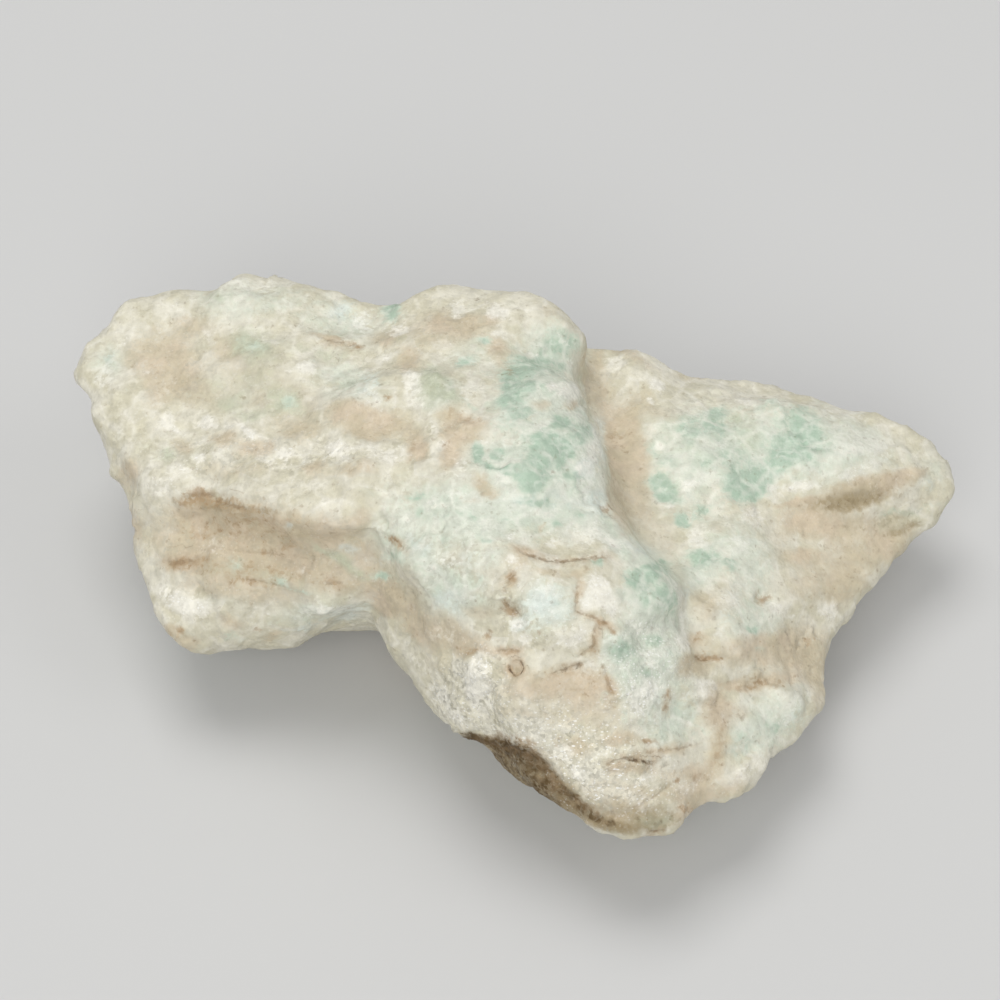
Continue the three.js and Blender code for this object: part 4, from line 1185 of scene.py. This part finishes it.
        colour = graph.mix(graph.ramp(masks[Tint.GREEN], 0.0, 0.7), colour, leaf)
        # pale blue and chalk are the stone's own colour, and in a few spots painted glints and painted light
        # on a shaded flank
        colour = graph.mix(graph.times(masks[Tint.BLUE_AND_PAINTED_LIGHT], 0.75), colour, self.pale_blue_and_painted_light)
        colour = graph.mix(graph.times(masks[Tint.CHALK_AND_PAINTED_LIGHT], 0.82), colour, self.chalk_and_painted_light)
        # umber is partly a stain and partly painted shade, in the east recess, on the turn under the nose and
        # along its bottom
        return graph.mix(graph.times(masks[Tint.UMBER_AND_SHADE], 0.9), colour, self.umber_and_shade)

    def veined(self, graph: Graph, where: object, bent: object, colour: object) -> Socket:
        """Draws the pale veins between the green crystals, and short darker seams in them.

        Args:
            graph: The material's nodes.
            where: The place on the stone, in millimetres.
            bent: The same place, moved about so that the crystals' edges wander.
            colour: The colour that is veined.

        Returns:
            The veined colour.
        """
        edges = graph.cells(bent, self.crystal_scale, feature="DISTANCE_TO_EDGE").outputs["Distance"]
        green = graph.scaled(graph.amount("green"), 0.15, graph.times(graph.amount("mint"), 0.3))
        some = graph.ramp(graph.cloud(where, 0.9, 2.0), 0.36, 0.6, 0.15, 1.0)
        net = graph.times(graph.ramp(edges, 0.22, 0.0), graph.times(some, green))
        colour = graph.mix(net, colour, self.vein)
        walls = graph.cells(where, self.block_scale, feature="DISTANCE_TO_EDGE").outputs["Distance"]
        patchy = graph.ramp(graph.cloud(where, 0.8, 2.0), 0.4, 0.6, 0.0, 0.35)
        pale = graph.times(graph.ramp(walls, 0.16, 0.0), patchy)
        clean = graph.ramp(graph.amount("tan"), 0.5, 0.1)
        colour = graph.mix(graph.times(pale, clean), colour, self.chalk_and_painted_light)
        seams = graph.cells(bent, 2.0 * self.crystal_scale, feature="DISTANCE_TO_EDGE").outputs["Distance"]
        few = graph.ramp(graph.cloud(where, 1.1, 2.0), 0.56, 0.68)
        short = graph.times(graph.ramp(seams, 0.07, 0.01), graph.times(few, green))
        return graph.mix(graph.times(short, 0.7), colour, self.seam)

    def speckled(
        self, graph: Graph, where: object, colour: object, crystals: bpy.types.Node, grains: bpy.types.Node
    ) -> Socket:
        """Mottles a colour with the tone of each crystal and grain, small white specks that are partly
        painted sparkle, and small dark dots.

        Args:
            graph: The material's nodes.
            where: The place on the stone, in millimetres.
            colour: The colour that is mottled.
            crystals: The pattern of the crystals.
            grains: The pattern of the grains.

        Returns:
            The mottled colour.
        """
        tone = graph.ramp(graph.cloud(where, 1.6, 3.0, 0.6), 0.3, 0.7, 0.93, 1.06)
        tone = graph.scaled(graph.centred(graph.part(crystals.outputs["Color"])), 0.05, tone)
        coarse = graph.scaled(graph.amount("sugar"), 0.27, 0.02)
        tone = graph.scaled(graph.centred(graph.part(grains.outputs["Color"])), coarse, tone)
        grey = graph.node("CombineColor", {"Red": tone, "Green": tone, "Blue": tone}).outputs["Color"]
        colour = graph.mix(1.0, colour, grey, "MULTIPLY")
        # the white flecks are partly white grains and partly painted sparkle
        sparkle_flecks = graph.ramp(graph.cells(where, 5.2).outputs["Distance"], 0.36, 0.22)
        some = graph.ramp(graph.cloud(where, 1.3, 3.0), 0.48, 0.62, 0.1, 1.0)
        white = graph.scaled(graph.amount("chalk_and_painted_light"), 0.3, graph.times(graph.amount("sugar"), 0.5))
        colour = graph.mix(graph.times(graph.times(sparkle_flecks, some), white), colour, self.painted_glint_white)
        dots = graph.ramp(graph.cells(where, 2.1).outputs["Distance"], 0.15, 0.07)
        earthy = graph.scaled(graph.amount("tan"), 0.7, 0.06)
        dirty = graph.times(graph.ramp(graph.cloud(where, 0.7, 3.0), 0.46, 0.6), earthy)
        return graph.mix(graph.times(dots, dirty), colour, self.rust)

    def stained_and_shaded(
        self, graph: Graph, where: object, colour: object, grains: bpy.types.Node, line: object
    ) -> Socket:
        """Lays the brown stains, the olive that is partly painted shade, and the cracks' lines over a colour.

        Args:
            graph: The material's nodes.
            where: The place on the stone, in millimetres.
            colour: The colour that is stained.
            grains: The pattern of the grains.
            line: The distance from the nearest crack, in its widths.

        Returns:
            The colour with stains and painted shade laid on.
        """
        ragged = graph.centred(graph.cloud(where, 1.9, 3.0, 0.62))
        grain = graph.centred(graph.part(grains.outputs["Color"]))
        # rust is a stain; olive is partly a stain and partly painted shade, mostly under the nose
        for kind, stain, coarse, low, most in (
            (Tint.RUST, self.rust, 1.1, 0.15, 0.85),
            (Tint.OLIVE_AND_SHADE, self.olive_and_shade, 1.1, 0.1, 0.97),
        ):
            amount = graph.scaled(ragged, coarse, graph.amount(kind.value))
            amount = graph.scaled(grain, 0.35, amount)
            share = graph.times(graph.ramp(amount, low, 0.95), most)
            colour = graph.mix(share, colour, stain)
        depth = graph.amount("crack_line")
        broken = graph.ramp(graph.cloud(where, 2.6, 3.0), 0.38, 0.62, 0.1, 1.0)
        torn = graph.ramp(graph.cloud(where, 2.2, 3.0, 0.6), 0.38, 0.62, 0.1, 1.0)
        halo = graph.times(graph.ramp(line, 3.6, 0.4), graph.times(depth, torn))
        core = graph.times(graph.ramp(line, 0.95, 0.2), graph.times(depth, broken))
        colour = graph.mix(graph.times(halo, 0.65), colour, self.rust)
        return graph.mix(core, colour, graph.mix(graph.ramp(depth, 0.6, 1.0), self.brown, self.dark))

    def glint(self, graph: Graph, where: object) -> Socket:
        """Gives where small bright cleavage faces catch the light, as specks and short streaks. The finish
        paints them into the colour as painted highlights and makes them less rough.

        Args:
            graph: The material's nodes.
            where: The place on the stone, in millimetres.

        Returns:
            The glints' amount, from 0 to 1.
        """
        amounts = []
        for turn, sizes, rare in ((0.5, (2.4, 5.8, 5.8), 0.8), (-0.7, (4.6, 7.6, 7.6), 0.76)):
            inputs = {"Vector": where, "Rotation": (0.3, turn, turn), "Scale": sizes}
            streaks = graph.cells(graph.node("Mapping", inputs).outputs["Vector"], 1.0)
            chosen = graph.ramp(graph.part(streaks.outputs["Color"]), rare, rare + 0.05)
            amounts.append(graph.times(graph.ramp(streaks.outputs["Distance"], 0.36, 0.2), chosen))
        clean = graph.scaled(graph.amount("olive_and_shade"), -3.0, graph.amount("sugar"))
        share = graph.ramp(graph.scaled(graph.amount("chalk_and_painted_light"), 0.5, clean), 0.2, 1.1, 0.0, 0.9)
        return graph.times(graph.math("MAXIMUM", *amounts), share)

    def roughness(self, graph: Graph, grains: bpy.types.Node, glint: object) -> Socket:
        """Gives how dull the skin is, grain by grain.

        Args:
            graph: The material's nodes.
            grains: The pattern of the grains.
            glint: The glints' amount.

        Returns:
            The roughness.
        """
        dull = graph.ramp(graph.part(grains.outputs["Color"]), 0.0, 1.0, 0.4, 0.68)
        # umber and olive, partly painted shade, make the skin duller
        stains_and_shade = graph.math("ADD", graph.amount("umber_and_shade"), graph.amount("olive_and_shade"))
        dull = graph.scaled(graph.ramp(stains_and_shade, 0.1, 0.9), 0.28, dull)
        return graph.math("SUBTRACT", dull, graph.times(glint, 0.2))

    def tilted(self, graph: Graph, normal: object, cells: bpy.types.Node, most: object) -> Socket:
        """Tilts a normal cell by cell, so that each cell is a small face of its own.

        Args:
            graph: The material's nodes.
            normal: The normal.
            cells: The pattern of the cells.
            most: How much they tilt.

        Returns:
            The tilted normal, not yet of length 1.
        """
        middle = (0.5, 0.5, 0.5)
        turn = graph.node("VectorMath", {0: cells.outputs["Color"], 1: middle}, operation="SUBTRACT")
        step = graph.node("VectorMath", {0: turn.outputs[0], "Scale": most}, operation="SCALE")
        return graph.node("VectorMath", {0: normal, 1: step.outputs[0]}, operation="ADD").outputs[0]

    def normal(
        self, graph: Graph, where: object, crystals: bpy.types.Node, grains: bpy.types.Node, line: object
    ) -> Socket:
        """Gives the skin its small faces and its fine grit.

        Args:
            graph: The material's nodes.
            where: The place on the stone, in millimetres.
            crystals: The pattern of the crystals.
            grains: The pattern of the grains.
            line: The distance from the nearest crack, in its widths.

        Returns:
            The normal.
        """
        sugar = graph.amount("sugar")
        facing = graph.node("NewGeometry").outputs["Normal"]
        facing = self.tilted(graph, facing, crystals, graph.scaled(sugar, self.crystal_tilt, 0.05))
        facing = self.tilted(graph, facing, grains, graph.scaled(sugar, self.grain_tilt, 0.12))
        facing = graph.node("VectorMath", {0: facing}, operation="NORMALIZE").outputs[0]
        height = graph.times(graph.cloud(where, 4.5, 2.0, 0.5), graph.scaled(sugar, 1.4, 0.6))
        groove = graph.times(graph.ramp(line, 1.0, 0.2), graph.amount("crack_line"))
        height = graph.math("SUBTRACT", height, groove)
        inputs = {
            "Height": height, "Strength": self.bump_strength, "Distance": self.bump * MM, "Normal": facing
        }
        return graph.node("Bump", inputs).outputs["Normal"]


@dataclass(frozen=True)
class FloorFinish:
    """A plain pale matt floor."""

    colour: Colour = (0.60, 0.60, 0.595, 1.0)
    roughness: float = 0.85
    shine: float = 0.3

    def build(self) -> bpy.types.Material:
        """Makes the material."""
        graph = Graph("pale_floor")
        inputs = {"Base Color": self.colour, "Roughness": self.roughness, "Specular IOR Level": self.shine}
        shader = graph.node("BsdfPrincipled", inputs)
        graph.node("OutputMaterial", {"Surface": shader.outputs["BSDF"]})
        return graph.material


def stand(name: str, data: bpy.types.ID, place: Vector, target: Vector) -> bpy.types.Object:
    """Puts a lamp or a camera in the scene and turns it to a point.

    Args:
        name: What it is called.
        data: The lamp or the camera.
        place: Where it stands, in metres.
        target: The point that it faces, in metres.

    Returns:
        The object.
    """
    thing = bpy.data.objects.new(name, data)
    thing.location = place
    thing.rotation_euler = (target - place).to_track_quat("-Z", "Y").to_euler()
    bpy.context.scene.collection.objects.link(thing)
    return thing


@dataclass(frozen=True)
class Lamp:
    """A soft square lamp. Lengths are in millimetres, and power is in watts."""

    name: str
    place: tuple[float, float, float]
    side: float
    power: float
    colour: tuple[float, float, float]

    def hang(self, target: Vector) -> None:
        """Hangs the lamp and turns it to what it lights.

        Args:
            target: The point that it faces, in metres.
        """
        light = bpy.data.lights.new(self.name, "AREA")
        light.size = self.side * MM
        light.energy = self.power
        light.color = self.colour
        stand(self.name, light, Vector(self.place) * MM, target)


@dataclass(frozen=True)
class Studio:
    """The floor, the lamps and the camera. Lengths are in millimetres."""

    floor_side: float = 4000.0
    floor_drop: float = 0.02
    sky: Colour = (0.98, 0.99, 1.0, 1.0)
    sky_strength: float = 0.4
    lamps: tuple[Lamp, ...] = (
        Lamp("key", (-100.0, 180.0, 560.0), 340.0, 1.52, (1.0, 0.99, 0.975)),
        Lamp("fill", (-80.0, -470.0, 400.0), 420.0, 1.8, (1.0, 0.995, 0.985)),
        Lamp("side", (360.0, -60.0, 330.0), 240.0, 0.24, (1.0, 0.995, 0.985)),
    )

    def floor(self) -> None:
        """Lays the floor just under the stone."""
        bm = bmesh.new()
        bmesh.ops.create_grid(bm, x_segments=1, y_segments=1, size=0.5 * self.floor_side * MM)
        bmesh.ops.translate(bm, verts=bm.verts, vec=(0.0, 0.0, -self.floor_drop * MM))
        mesh = bpy.data.meshes.new("floor")
        bm.to_mesh(mesh)
        bm.free()
        mesh.materials.append(FloorFinish().build())
        floor = bpy.data.objects.new("floor", mesh)
        bpy.context.scene.collection.objects.link(floor)

    def light(self) -> None:
        """Lights the room from all round, and hangs the lamps."""
        world = bpy.data.worlds.new("room")
        world.use_nodes = True
        background = world.node_tree.nodes["Background"]
        background.inputs["Color"].default_value = self.sky
        background.inputs["Strength"].default_value = self.sky_strength
        bpy.context.scene.world = world
        for lamp in self.lamps:
            lamp.hang(Vector(SIGHT.target) * MM)

    def camera(self) -> None:
        """Stands the camera where it sees the stone as it is meant to be seen."""
        lens = bpy.data.cameras.new("camera")
        lens.lens = SIGHT.lens
        lens.sensor_width = SIGHT.sensor
        lens.clip_start = SIGHT.nearest * MM
        camera = stand("camera", lens, Vector(SIGHT.eye() * MM), Vector(SIGHT.target) * MM)
        bpy.context.scene.camera = camera

    def build(self) -> None:
        """Makes the whole studio."""
        self.floor()
        self.light()
        self.camera()
        bpy.context.scene.view_settings.view_transform = "Standard"
        log.info("studio: %d lamps", len(self.lamps))


def main() -> None:
    """Builds the studio and the stone, and logs the stone's faces and the studio's lamps."""
    logging.basicConfig(level=logging.INFO, format="%(name)s: %(message)s")
    Studio().build()
    Stone().build()


if __name__ == "__main__":
    main()
